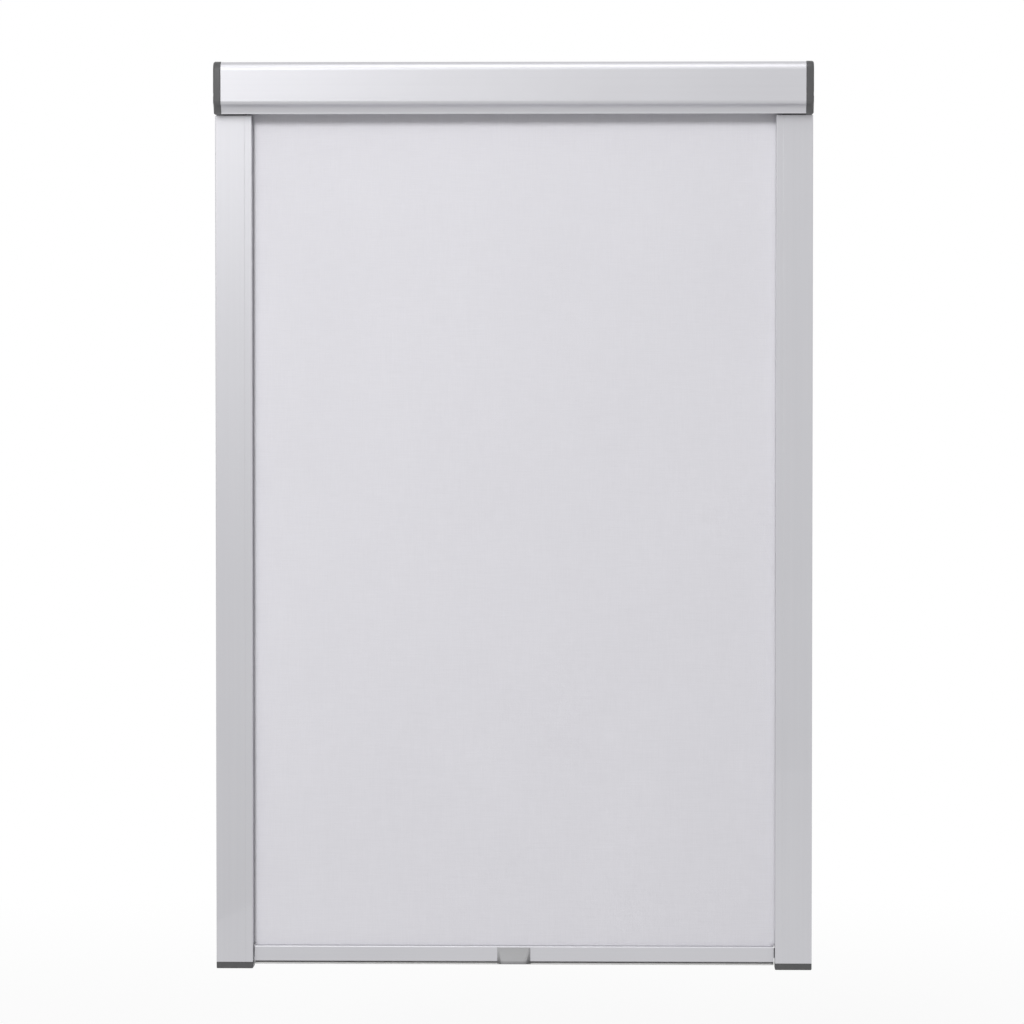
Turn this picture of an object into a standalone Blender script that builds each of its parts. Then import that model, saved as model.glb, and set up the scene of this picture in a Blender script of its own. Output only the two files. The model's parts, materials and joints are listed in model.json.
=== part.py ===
"""Skylight window blind: a spring roller in an aluminium head box, with guided fabric and a pull bar.

Metres, +Z up. X runs across the blind and is 0 at its middle. Y is 0 at the mounting plane and
negative towards the room. Z is 0 at half the height of the head box. Profiles are written as
(depth, height) or (across, depth), where depth is the distance from the mounting plane.
"""
from math import asin, cos, degrees, pi, radians, sin, sqrt

import bmesh
import bpy
from mathutils import Vector

# Overall size, over the end caps and down to the rail feet
OVERALL_WIDTH = 0.613
OVERALL_HEIGHT = 0.932

# Gap between two pieces that touch, and between a piece and the one it slides or turns in
SEAT_GAP = 0.0003

# Head box, an open aluminium extrusion
HEAD_HEIGHT = 0.053
HEAD_DEPTH = 0.046
HEAD_WALL = 0.0015
HEAD_TOP_RADIUS = 0.009
CREASE_HEIGHT = 0.00845
CREASE_RADIUS = 0.0025
HEAD_UNDERCUT = 0.0005
HEAD_LIP_DEPTH = 0.037

# Open screw ports inside the head box
PORT_BORE = 0.0015
PORT_WALL = 0.0014
PORT_MOUTH = 35.0
FRONT_PORT_HEIGHT = 0.0195
TOP_PORT_DEPTH = 0.009

# Moulded end caps
CAP_THICKNESS = 0.0075
CAP_PROUD = 0.0005
CAP_EDGE_RADIUS = 0.0022
CAP_RIB_LENGTH = 0.008
CAP_RIB_THICKNESS = 0.0018
CAP_RIB_WIDTH = 0.014
BOSS_LENGTH = 0.012
BOSS_WALL = 0.0027
SOCKET_DEPTH = 0.010
FOOT_PLATE = 0.004
TOP_STOP = 0.003
PEG_LENGTH = 0.014
PEG_WALL = 0.0022
BRACKET_SLOT_HEIGHT = 0.012
BRACKET_SLOT_LENGTH = 0.016
BRACKET_SLOT_SINK = 0.003

# End cap screws
SCREW_HEAD_RADIUS = 0.0028
SCREW_HEAD_HEIGHT = 0.0016
SCREW_HEAD_EDGE = 0.0004
SCREW_SINK = 0.0004
SCREW_GRIP = 0.012

# Fabric sheet and the wraps left on the roller when the blind is closed
FABRIC_DEPTH = 0.008
FABRIC_THICKNESS = 0.0004
FABRIC_IN_RAIL = 0.006
WRAP_PITCH = 0.0008
WRAPS = 2.25

# Roller tube with a keyway for the fabric
ROLLER_RISE = 0.0295
TUBE_RADIUS = 0.0125
TUBE_WALL = 0.001
TUBE_KEY_NECK = 0.0014
TUBE_KEY_LIP = 0.0008
TUBE_KEY_WIDTH = 0.0038
TUBE_KEY_DEPTH = 0.0016

# Roller plugs, fixed shaft and counterbalance spring
PLUG_FLANGE = 0.0015
PLUG_FLANGE_PROUD = 0.0008
PLUG_LENGTH = 0.016
NOSE_LENGTH = 0.006
SHAFT_RADIUS = 0.0042
IDLER_PIN_RADIUS = 0.003
IDLER_PIN_REACH = 0.013
IDLER_PIN_NOSE = 0.001
ANCHOR_RADIUS = 0.0086
ANCHOR_LENGTH = 0.012
SPRING_TURNS = 22
SPRING_PITCH = 0.005
SPRING_RADIUS = 0.0072
SPRING_WIRE = 0.0014

# Side rails, aluminium extrusions with a guide channel and two hollow chambers
RAIL_WIDTH = 0.0378
RAIL_DEPTH = 0.022
RAIL_WALL = 0.0013
RAIL_ROUND = 0.0009
RAIL_LINE_AT = 0.0075
RAIL_LINE_WIDTH = 0.0006
RAIL_LINE_SINK = 0.0003
LIP_WIDTH = 0.007
SLOT_OPENING = 0.005
CHANNEL_WIDTH = 0.013
CHANNEL_DEPTH = 0.013

# Pile seals in the lips of each guide slot
PILE_AT = 0.0035
PILE_NECK = 0.0022
PILE_HEAD = 0.0042
PILE_LIP = 0.0006
PILE_POCKET = 0.0012
PILE_REACH = 0.0008

# Rail feet
FOOT_HEIGHT = 0.0065
FOOT_ROUND = 0.0012
FOOT_PLUG = 0.012
FOOT_STOP = 0.005

# Bottom bar, an aluminium extrusion
BAR_RAISE = 0.0039
BAR_HEIGHT = 0.0152
BAR_THICKNESS = 0.013
BAR_BACK = 0.002
BAR_WALL = 0.0013
BAR_TOP_ROUND = 0.0018
BAR_FOOT_ROUND = 0.0008
BAR_END_GAP = 0.001
KEYWAY_RADIUS = 0.002
KEYWAY_NECK = 0.001
KEYWAY_LIP = 0.0011

# Rubber strip under the bottom bar
SEAL_NECK = 0.002
SEAL_HEAD = 0.004
SEAL_LIP = 0.001
SEAL_POCKET = 0.0014
SEAL_FOOT = 0.010
SEAL_FOOT_THICKNESS = 0.0016

# Sliders with a sprung brake pad, one in each rail
TONGUE_THICKNESS = 0.0028
TONGUE_MARGIN = 0.0015
SLIDER_PLUG = 0.018
SHOE_HEIGHT = 0.026
SHOE_SIDE_GAP = 0.0008
SHOE_CHAMFER = 0.001
PAD_HEIGHT = 0.017
PAD_WIDTH = 0.0074
PAD_THICKNESS = 0.0026
PAD_ROUND = 0.0005
BRAKE_BORE_DEPTH = 0.006
BRAKE_SPRING_RADIUS = 0.0019
BRAKE_SPRING_WIRE = 0.0005
BRAKE_SPRING_TURNS = 5

# Pull handle, clipped to the middle of the bottom bar
HANDLE_WIDTH = 0.034
HANDLE_FACE_TOP = 0.032
HANDLE_FACE_FOOT = 0.0245
HANDLE_TOP_SET = 0.0009
HANDLE_DROP = 0.0022
HANDLE_TOP_PROUD = 0.0012
HANDLE_FOOT_PROUD = 0.0080
HANDLE_WALL = 0.0018
HANDLE_LEDGE = 0.0012
HANDLE_LEDGE_REACH = 0.003
HANDLE_CORNER = 0.3
HANDLE_ROUND = 0.0018
HANDLE_HOLLOW_TOP = 0.62
HANDLE_HOLLOW_FOOT = 1.2
HANDLE_SWEEP = 1.35
HANDLE_STEPS = 9

# Fineness of round shapes
ROUND_STEPS = 32
SMALL_STEPS = 16
CORNER_STEPS = 4
RIM_STEPS = 3
SHAFT_SIDES = 6
WRAP_STEPS = 24
COIL_STEPS = 10
MERGE = 0.000001
SMOOTH_ANGLE = radians(32.0)

# Heights and places worked out from the sizes above
HEAD_FLOOR = -HEAD_HEIGHT / 2
HEAD_ROOF = HEAD_HEIGHT / 2
CAP_FACE = OVERALL_WIDTH / 2 - CAP_THICKNESS
CAP_FLOOR = HEAD_FLOOR - CAP_PROUD
OVERALL_FLOOR = HEAD_ROOF + CAP_PROUD - OVERALL_HEIGHT
RAIL_TOP = CAP_FLOOR - SEAT_GAP
RAIL_FLOOR = OVERALL_FLOOR + FOOT_HEIGHT + SEAT_GAP
RAIL_INNER = OVERALL_WIDTH / 2 - RAIL_WIDTH
SEAL_WAIST = HANDLE_LEDGE + 2 * SEAT_GAP
SEAL_DROP = SEAL_WAIST + SEAL_FOOT_THICKNESS
BAR_FLOOR = OVERALL_FLOOR + BAR_RAISE + SEAL_DROP
BAR_HALF = RAIL_INNER - BAR_END_GAP
FABRIC_HALF = RAIL_INNER + FABRIC_IN_RAIL
ROLL_RADIUS = TUBE_RADIUS + SEAT_GAP + FABRIC_THICKNESS / 2 + WRAP_PITCH * WRAPS
ROLLER_DEPTH = FABRIC_DEPTH + ROLL_RADIUS
ROLLER_Z = HEAD_FLOOR + ROLLER_RISE
BOSS_END = CAP_FACE - BOSS_LENGTH
FLANGE_END = BOSS_END - SEAT_GAP
TUBE_HALF = FLANGE_END - PLUG_FLANGE - SEAT_GAP
PORT_RADIUS = PORT_BORE + PORT_WALL
PORT_SETBACK = PORT_BORE + PORT_WALL / 2
FRONT_PORT = (HEAD_DEPTH - HEAD_WALL - PORT_SETBACK, HEAD_FLOOR + FRONT_PORT_HEIGHT)
TOP_PORT = (TOP_PORT_DEPTH, HEAD_ROOF - HEAD_WALL - PORT_SETBACK)
NOSE_RADIUS = SPRING_RADIUS - SPRING_WIRE / 2 - SEAT_GAP
CHANNEL_FAR = LIP_WIDTH + CHANNEL_WIDTH
CHANNEL_BACK = FABRIC_DEPTH - CHANNEL_DEPTH / 2
CHANNEL_FRONT = FABRIC_DEPTH + CHANNEL_DEPTH / 2
SIDE_CHAMBER = (CHANNEL_FAR + RAIL_WALL, RAIL_WIDTH - RAIL_WALL)
SHOE_FLOOR = RAIL_FLOOR + FOOT_STOP + SEAT_GAP
KEYWAY_Z = BAR_HEIGHT - KEYWAY_LIP - sqrt(KEYWAY_RADIUS ** 2 - (KEYWAY_NECK / 2) ** 2)
CHAMBER_FLOOR = SEAL_LIP + SEAL_POCKET + BAR_WALL
CHAMBER_ROOF = KEYWAY_Z - KEYWAY_RADIUS - BAR_WALL
BAR_BACK_FACE = BAR_BACK - FABRIC_DEPTH
BAR_FRONT_FACE = BAR_BACK_FACE + BAR_THICKNESS


def clear_scene():
    """Remove everything that is in the scene at the start."""
    for thing in list(bpy.data.objects):
        bpy.data.objects.remove(thing, do_unlink=True)


def make_finish(name, colour, roughness, metallic):
    """A plain Principled material with one colour."""
    finish = bpy.data.materials.new(name)
    finish.use_nodes = True
    shader = finish.node_tree.nodes["Principled BSDF"]
    shader.inputs["Base Color"].default_value = (*colour, 1.0)
    shader.inputs["Roughness"].default_value = roughness
    shader.inputs["Metallic"].default_value = metallic
    return finish


def make_finishes():
    """Every finish that the pieces share, by name."""
    return {
        "aluminium": make_finish("anodised_aluminium", (0.62, 0.62, 0.65), 0.42, 0.9),
        "dark_plastic": make_finish("dark_grey_plastic", (0.09, 0.09, 0.092), 0.5, 0.0),
        "grey_plastic": make_finish("grey_plastic", (0.40, 0.40, 0.41), 0.45, 0.0),
        "white_plastic": make_finish("white_plastic", (0.75, 0.75, 0.73), 0.4, 0.0),
        "steel": make_finish("zinc_plated_steel", (0.55, 0.56, 0.58), 0.32, 1.0),
        "fabric": make_finish("pale_fabric", (0.72, 0.71, 0.75), 0.85, 0.0),
        "pile": make_finish("grey_pile", (0.25, 0.25, 0.26), 0.95, 0.0),
        "rubber": make_finish("grey_rubber", (0.42, 0.42, 0.43), 0.8, 0.0),
    }


def arc(centre, radius, start, end, steps=CORNER_STEPS):
    """Points on a round, from the start angle to the end angle in degrees."""
    turns = [radians(start + (end - start) * step / steps) for step in range(steps + 1)]
    return [(centre[0] + radius * cos(turn), centre[1] + radius * sin(turn)) for turn in turns]


def box_loop(low, high):
    """The four corners of a rectangle, counter-clockwise."""
    return [(low[0], low[1]), (high[0], low[1]), (high[0], high[1]), (low[0], high[1])]


def along_x(depth, height, along):
    """A profile of depth and height, carried across the blind."""
    return Vector((along, -depth, height))


def along_z(across, depth, along):
    """A profile of width and depth, carried up the blind."""
    return Vector((across, -depth, along))


def mirrored(place, side):
    """The same placing on the left, side -1, or on the right, side 1."""
    return lambda *spot: Vector((side, 1.0, 1.0)) * place(*spot)


def prism(loops, place, low, high):
    """Fill an outline and its holes, and carry the section from low to high."""
    shape = bmesh.new()
    for loop in loops:
        ring = [shape.verts.new(place(*point, low)) for point in loop]
        for first, second in zip(ring, ring[1:] + ring[:1]):
            shape.edges.new((first, second))
    bmesh.ops.triangle_fill(shape, edges=shape.edges[:], use_beauty=True)
    swept = bmesh.ops.extrude_face_region(shape, geom=shape.faces[:])
    moved = [part for part in swept["geom"] if isinstance(part, bmesh.types.BMVert)]
    bmesh.ops.translate(shape, verts=moved, vec=place(0, 0, high) - place(0, 0, low))
    return shape


def rounded_block(loop, place, low, high, radius):
    """Carry an outline from low to high and round the rim of its far end."""
    shape = bmesh.new()
    base = shape.faces.new([shape.verts.new(place(*point, low)) for point in loop])
    swept = bmesh.ops.extrude_face_region(shape, geom=[base])
    moved = [part for part in swept["geom"] if isinstance(part, bmesh.types.BMVert)]
    bmesh.ops.translate(shape, verts=moved, vec=place(0, 0, high) - place(0, 0, low))
    far = set(moved)
    rim = [edge for edge in shape.edges if edge.verts[0] in far and edge.verts[1] in far]
    bmesh.ops.bevel(shape, geom=rim, offset=radius, segments=RIM_STEPS, profile=0.5, affect="EDGES")
    return shape


def box(low, high):
    """A plain block between two corners."""
    return prism([box_loop(low[:2], high[:2])], lambda x, y, z: Vector((x, y, z)), low[2], high[2])


def turned(profile, side=1, steps=SMALL_STEPS):
    """Spin (along, radius) points about the local X axis."""
    shape = bmesh.new()
    line = [shape.verts.new((side * along, 0.0, radius)) for along, radius in profile]
    edges = [shape.edges.new(pair) for pair in zip(line, line[1:])]
    bmesh.ops.spin(shape, geom=line + edges, axis=(1, 0, 0), angle=2 * pi, steps=steps)
    bmesh.ops.remove_doubles(shape, verts=shape.verts[:], dist=MERGE)
    return shape


def lofted(sections):
    """Skin a stack of loops that have the same number of points, and close both ends."""
    shape = bmesh.new()
    rings = [[shape.verts.new(point) for point in section] for section in sections]
    for lower, upper in zip(rings, rings[1:]):
        for spot in range(len(lower)):
            after = (spot + 1) % len(lower)
            shape.faces.new((lower[spot], lower[after], upper[after], upper[spot]))
    shape.faces.new(rings[0])
    shape.faces.new(rings[-1])
    return shape


def add_piece(name, shape, finish, parent, place=(0.0, 0.0, 0.0)):
    """Turn a shape into a named object that rides on its parent."""
    bmesh.ops.recalc_face_normals(shape, faces=shape.faces[:])
    mesh = bpy.data.meshes.new(name)
    shape.to_mesh(mesh)
    shape.free()
    mesh.materials.append(finish)
    piece = bpy.data.objects.new(name, mesh)
    bpy.context.collection.objects.link(piece)
    piece.parent = parent
    piece.location = place
    smooth(piece)
    return piece


def smooth(piece):
    """Shade the rounds smooth and keep the real edges sharp."""
    piece.data.shade_smooth()
    piece.data.set_sharp_from_angle(angle=SMOOTH_ANGLE)


def weld(mesh):
    """Merge the points that a cut leaves on top of each other, and drop edges without length."""
    shape = bmesh.new()
    shape.from_mesh(mesh)
    bmesh.ops.remove_doubles(shape, verts=shape.verts[:], dist=MERGE)
    bmesh.ops.dissolve_degenerate(shape, edges=shape.edges[:], dist=MERGE)
    shape.to_mesh(mesh)
    shape.free()


def combine(piece, shape, operation):
    """Join a shape to a piece, or cut it away, in the piece's own space."""
    tool = add_piece("tool", shape, piece.data.materials[0], piece.parent, piece.location)
    change = piece.modifiers.new(operation, "BOOLEAN")
    change.operation = operation
    change.object = tool
    bpy.context.view_layer.update()
    shaped = piece.evaluated_get(bpy.context.evaluated_depsgraph_get())
    mesh = bpy.data.meshes.new_from_object(shaped)
    piece.modifiers.remove(change)
    weld(mesh)
    piece.data = mesh
    mesh.name = piece.name
    bpy.data.objects.remove(tool, do_unlink=True)
    smooth(piece)


def add_wire(name, points, diameter, finish, parent, place):
    """A wire of round section through the points, with closed ends."""
    curve = bpy.data.curves.new(name, "CURVE")
    curve.dimensions = "3D"
    curve.bevel_depth = diameter / 2
    curve.bevel_resolution = 1
    curve.use_fill_caps = True
    spline = curve.splines.new("POLY")
    spline.points.add(len(points) - 1)
    for spot, point in zip(spline.points, points):
        spot.co = (*point, 1.0)
    curve.materials.append(finish)
    piece = bpy.data.objects.new(name, curve)
    bpy.context.collection.objects.link(piece)
    piece.parent = parent
    piece.location = place
    return piece


def helix(radius, pitch, turns, direction=1):
    """Points of a coil along the local X axis, starting at 0."""
    count = turns * COIL_STEPS
    swings = [2 * pi * step / COIL_STEPS for step in range(count + 1)]
    climb = direction * pitch / COIL_STEPS
    return [(climb * step, radius * cos(swing), radius * sin(swing)) for step, swing in enumerate(swings)]


def print_coil_gap(name, points, diameter):
    """Print the least gap between a coil's neighbouring turns."""
    pairs = zip(points, points[COIL_STEPS:])
    least = min((Vector(first) - Vector(second)).length for first, second in pairs) - diameter
    print(f"{name}: least gap between turns {least * 1000:.2f} mm")


def add_empty(name, place):
    """A joint or body frame that the pieces are parented to."""
    empty = bpy.data.objects.new(name, None)
    bpy.context.collection.objects.link(empty)
    empty.location = place
    return empty


def cove(inset):
    """The hollow under the front face, a curve from the crease back and down to the lip."""
    start = Vector((HEAD_DEPTH - CREASE_RADIUS - HEAD_UNDERCUT, HEAD_FLOOR + CREASE_HEIGHT))
    end = Vector((HEAD_LIP_DEPTH, HEAD_FLOOR))
    bend = Vector((HEAD_LIP_DEPTH, start.y))
    points = []
    steps = 2 * CORNER_STEPS
    for step in range(steps + 1):
        share = step / steps
        on_curve = (1 - share) ** 2 * start + 2 * share * (1 - share) * bend + share ** 2 * end
        heading = ((1 - share) * (bend - start) + share * (end - bend)).normalized()
        inward = Vector((heading.y, -heading.x))
        points.append(tuple(on_curve + inset * inward))
    return points


def head_path(inset):
    """The head box section from the top round to the lip, moved in by the inset."""
    top_centre = (HEAD_DEPTH - HEAD_TOP_RADIUS, HEAD_ROOF - HEAD_TOP_RADIUS)
    crease_centre = (HEAD_DEPTH - CREASE_RADIUS, HEAD_FLOOR + CREASE_HEIGHT + CREASE_RADIUS)
    top_round = arc(top_centre, HEAD_TOP_RADIUS - inset, 90, 0, 2 * CORNER_STEPS)
    crease = arc(crease_centre, CREASE_RADIUS - inset, 0, -90)
    return top_round, crease, cove(inset)


def screw_port(centre, towards_wall):
    """An open ring round a screw, standing on the wall that lies at the given angle."""
    root = degrees(asin(sqrt(PORT_RADIUS ** 2 - PORT_SETBACK ** 2) / PORT_RADIUS))
    mouth = 180 - PORT_MOUTH
    first_side = arc(centre, PORT_RADIUS, towards_wall - root, towards_wall - mouth)
    bore = arc(centre, PORT_BORE, towards_wall - mouth, towards_wall + mouth, 3 * CORNER_STEPS)
    last_side = arc(centre, PORT_RADIUS, towards_wall + mouth, towards_wall + root)
    return first_side + bore + last_side


def head_section():
    """The whole outline of the head box: outside, lip, inside with its ports, and back wall."""
    top_round, crease, hollow = head_path(0.0)
    inner_round, inner_crease, inner_hollow = head_path(HEAD_WALL)
    outside = [(0.0, HEAD_FLOOR), (0.0, HEAD_ROOF)] + top_round + crease + hollow
    front_side = inner_hollow[::-1] + inner_crease[::-1] + screw_port(FRONT_PORT, 0)
    top_side = inner_round[::-1] + screw_port(TOP_PORT, 90)
    back_side = [(HEAD_WALL, HEAD_ROOF - HEAD_WALL), (HEAD_WALL, HEAD_FLOOR)]
    return outside + front_side + top_side + back_side


def cap_outline():
    """The end cap's outline: the head box grown all round except at the mounting plane."""
    top_round, crease, hollow = head_path(-CAP_PROUD)
    closed_foot = [(HEAD_LIP_DEPTH + CAP_PROUD, CAP_FLOOR), (0.0, CAP_FLOOR)]
    return [(0.0, HEAD_ROOF + CAP_PROUD)] + top_round + crease + hollow[:-1] + closed_foot


def add_head_box(casing, finishes):
    """The one-piece extruded cover between the end caps."""
    half = CAP_FACE - SEAT_GAP
    shape = prism([head_section()], along_x, -half, half)
    add_piece("cassette_cover", shape, finishes["aluminium"], casing)


def side_box(side, across, depth, height):
    """A block from ranges of distance from the middle, depth and height."""
    low = (min(side * across[0], side * across[1]), -depth[1], height[0])
    high = (max(side * across[0], side * across[1]), -depth[0], height[1])
    return box(low, high)


def add_end_cap(name, side, casing, finishes, socket):
    """One end cap, with the boss that carries the roller and the peg that carries the rail."""
    place = mirrored(along_x, side)
    shape = rounded_block(cap_outline(), place, CAP_FACE, OVERALL_WIDTH / 2, CAP_EDGE_RADIUS)
    cap = add_piece(name, shape, finishes["dark_plastic"], casing)
    overlap = CAP_THICKNESS / 2
    inner_skin = HEAD_WALL + SEAT_GAP
    rib_reach = (CAP_FACE - CAP_RIB_LENGTH, CAP_FACE + overlap)
    rib_roof = HEAD_ROOF - inner_skin
    rib_front = HEAD_DEPTH - inner_skin
    top_start = TOP_PORT_DEPTH + PORT_RADIUS + CAP_RIB_THICKNESS
    top_rib = ((top_start, top_start + CAP_RIB_WIDTH), (rib_roof - CAP_RIB_THICKNESS, rib_roof))
    front_start = FRONT_PORT[1] + PORT_RADIUS + CAP_RIB_THICKNESS
    front_rib = ((rib_front - CAP_RIB_THICKNESS, rib_front), (front_start, front_start + CAP_RIB_WIDTH))
    back_rib = ((inner_skin, inner_skin + CAP_RIB_THICKNESS), (-CAP_RIB_WIDTH / 2, CAP_RIB_WIDTH / 2))
    for depth, height in (top_rib, front_rib, back_rib):
        combine(cap, side_box(side, rib_reach, depth, height), "UNION")
    peg_near = RAIL_INNER + SIDE_CHAMBER[0] + SEAT_GAP
    peg_far = RAIL_INNER + SIDE_CHAMBER[1] - SEAT_GAP
    peg_depth = (RAIL_WALL + SEAT_GAP, RAIL_DEPTH - RAIL_WALL - SEAT_GAP)
    stop_across = (RAIL_INNER + LIP_WIDTH + SEAT_GAP, RAIL_INNER + CHANNEL_FAR - SEAT_GAP)
    stop_depth = (CHANNEL_BACK + SEAT_GAP, CHANNEL_FRONT - SEAT_GAP)
    plate_top = CAP_FLOOR + FOOT_PLATE
    plate_depth = (inner_skin, peg_depth[1])
    plate = side_box(side, (stop_across[0], CAP_FACE + overlap), plate_depth, (CAP_FLOOR, plate_top))
    combine(cap, plate, "UNION")
    inside_plate = CAP_FLOOR + FOOT_PLATE / 2
    stop = side_box(side, stop_across, stop_depth, (RAIL_TOP - TOP_STOP, inside_plate))
    combine(cap, stop, "UNION")
    peg = side_box(side, (peg_near, peg_far), peg_depth, (CAP_FLOOR - PEG_LENGTH, inside_plate))
    combine(cap, peg, "UNION")
    hollow_across = (peg_near + PEG_WALL, peg_far - PEG_WALL)
    hollow_depth = (peg_depth[0] + PEG_WALL, peg_depth[1] - PEG_WALL)
    hollow_height = (CAP_FLOOR - PEG_LENGTH - PEG_WALL, CAP_FLOOR)
    combine(cap, side_box(side, hollow_across, hollow_depth, hollow_height), "DIFFERENCE")
    add_boss(cap, side, overlap, socket)
    add_bracket_slot(cap, side)
    add_screw_holes(cap, side)


def round_at(shape, depth, height):
    """Move a turned shape to its depth and height."""
    bmesh.ops.translate(shape, verts=shape.verts[:], vec=(0.0, -depth, height))
    return shape


def rod(low, high, radius, side=1, steps=SMALL_STEPS):
    """A plain round bar along X."""
    return turned([(low, 0.0), (low, radius), (high, radius), (high, 0.0)], side, steps)


def add_boss(cap, side, overlap, socket):
    """The round boss that takes the fixed shaft or the idler pin in its socket."""
    radius, sides = socket
    boss = rod(BOSS_END, CAP_FACE + overlap, radius + SEAT_GAP + BOSS_WALL, side, ROUND_STEPS)
    combine(cap, round_at(boss, ROLLER_DEPTH, ROLLER_Z), "UNION")
    hole = rod(BOSS_END - overlap, BOSS_END + SOCKET_DEPTH, radius + SEAT_GAP, side, sides)
    combine(cap, round_at(hole, ROLLER_DEPTH, ROLLER_Z), "DIFFERENCE")


def add_bracket_slot(cap, side):
    """The slot in the outer side, open at the back, that hangs on a bracket in the window."""
    across = (OVERALL_WIDTH / 2 - BRACKET_SLOT_SINK, OVERALL_WIDTH / 2 + BRACKET_SLOT_SINK)
    depth = (-BRACKET_SLOT_SINK, BRACKET_SLOT_LENGTH)
    height = (-BRACKET_SLOT_HEIGHT / 2, BRACKET_SLOT_HEIGHT / 2)
    combine(cap, side_box(side, across, depth, height), "DIFFERENCE")


def add_screw_holes(cap, side):
    """A stepped hole through the cap in line with each screw port."""
    head_seat = OVERALL_WIDTH / 2 - SCREW_SINK - SCREW_HEAD_HEIGHT - SEAT_GAP
    beyond = OVERALL_WIDTH / 2 + CAP_THICKNESS
    wide = SCREW_HEAD_RADIUS + SEAT_GAP
    before = CAP_FACE - CAP_THICKNESS
    profile = [(before, 0.0), (before, PORT_BORE), (head_seat, PORT_BORE)]
    profile += [(head_seat, wide), (beyond, wide), (beyond, 0.0)]
    for depth, height in (FRONT_PORT, TOP_PORT):
        combine(cap, round_at(turned(profile, side), depth, height), "DIFFERENCE")


def add_cap_screw(name, side, port, casing, finishes):
    """A self-tapping screw through the end cap into its port."""
    shank = PORT_BORE - SEAT_GAP
    head_face = OVERALL_WIDTH / 2 - SCREW_SINK
    head_back = head_face - SCREW_HEAD_HEIGHT
    tip = CAP_FACE - SCREW_GRIP
    edge = SCREW_HEAD_EDGE
    profile = [(tip, 0.0), (tip + shank, shank), (head_back, shank), (head_back, SCREW_HEAD_RADIUS)]
    profile += [(head_face - edge, SCREW_HEAD_RADIUS), (head_face, SCREW_HEAD_RADIUS - edge)]
    profile += [(head_face, 0.0)]
    shape = round_at(turned(profile, side), *port)
    add_piece(name, shape, finishes["steel"], casing)


def rail_section():
    """The rail's section across and into the depth, from its inner face, with two chambers."""
    slot_back = FABRIC_DEPTH - SLOT_OPENING / 2
    slot_front = FABRIC_DEPTH + SLOT_OPENING / 2
    front = RAIL_DEPTH
    line_near = RAIL_LINE_AT - RAIL_LINE_WIDTH / 2
    line_far = RAIL_LINE_AT + RAIL_LINE_WIDTH / 2
    back_lip = [(RAIL_WIDTH, 0.0), (0.0, 0.0), (0.0, slot_back)] + pile_groove(slot_back, -1)
    channel = [(LIP_WIDTH, slot_back), (LIP_WIDTH, CHANNEL_BACK), (CHANNEL_FAR, CHANNEL_BACK)]
    channel += [(CHANNEL_FAR, CHANNEL_FRONT), (LIP_WIDTH, CHANNEL_FRONT), (LIP_WIDTH, slot_front)]
    front_lip = pile_groove(slot_front, 1)[::-1] + [(0.0, slot_front)]
    inner_round = arc((RAIL_ROUND, front - RAIL_ROUND), RAIL_ROUND, 180, 90)
    line = [(line_near, front), (RAIL_LINE_AT, front - RAIL_LINE_SINK), (line_far, front)]
    outer_round = arc((RAIL_WIDTH - RAIL_ROUND, front - RAIL_ROUND), RAIL_ROUND, 90, 0)
    outline = back_lip + channel + front_lip + inner_round + line + outer_round
    side_chamber = box_loop((SIDE_CHAMBER[0], RAIL_WALL), (SIDE_CHAMBER[1], front - RAIL_WALL))
    front_low = (RAIL_WALL, CHANNEL_FRONT + RAIL_WALL)
    front_chamber = box_loop(front_low, (CHANNEL_FAR, front - RAIL_WALL))
    return [outline, side_chamber, front_chamber]


def pile_groove(edge, away):
    """The T-shaped groove in one lip of the slot, cut away from the slot's edge."""
    neck = PILE_NECK / 2
    head = PILE_HEAD / 2
    under = edge + away * PILE_LIP
    floor = under + away * PILE_POCKET
    near_side = [(PILE_AT - neck, edge), (PILE_AT - neck, under), (PILE_AT - head, under)]
    far_side = [(PILE_AT + head, under), (PILE_AT + neck, under), (PILE_AT + neck, edge)]
    return near_side + [(PILE_AT - head, floor), (PILE_AT + head, floor)] + far_side


def add_side_rail(name, side, casing, finishes):
    """One guide rail, under its end cap."""
    shape = prism(rail_section(), mirrored(along_z, side), 0.0, RAIL_TOP - RAIL_FLOOR)
    add_piece(name, shape, finishes["aluminium"], casing, (side * RAIL_INNER, 0.0, RAIL_FLOOR))


def add_pile(name, side, away, casing, finishes):
    """A pile seal: a flat backing held in the groove, and its pile reaching into the slot."""
    edge = FABRIC_DEPTH + away * SLOT_OPENING / 2
    half_back = PILE_HEAD / 2 - SEAT_GAP
    half_pile = PILE_NECK / 2 - SEAT_GAP
    base_near = edge + away * (PILE_LIP + SEAT_GAP)
    base_far = edge + away * (PILE_LIP + PILE_POCKET - SEAT_GAP)
    tip = edge - away * PILE_REACH
    backing = [(PILE_AT - half_back, base_near), (PILE_AT - half_back, base_far)]
    backing += [(PILE_AT + half_back, base_far), (PILE_AT + half_back, base_near)]
    strands = [(PILE_AT + half_pile, base_near), (PILE_AT + half_pile, tip)]
    strands += [(PILE_AT - half_pile, tip), (PILE_AT - half_pile, base_near)]
    low = FOOT_STOP + SEAT_GAP
    shape = prism([backing + strands], mirrored(along_z, side), low, RAIL_TOP - RAIL_FLOOR - SEAT_GAP)
    add_piece(name, shape, finishes["pile"], casing, (side * RAIL_INNER, 0.0, RAIL_FLOOR))


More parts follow.
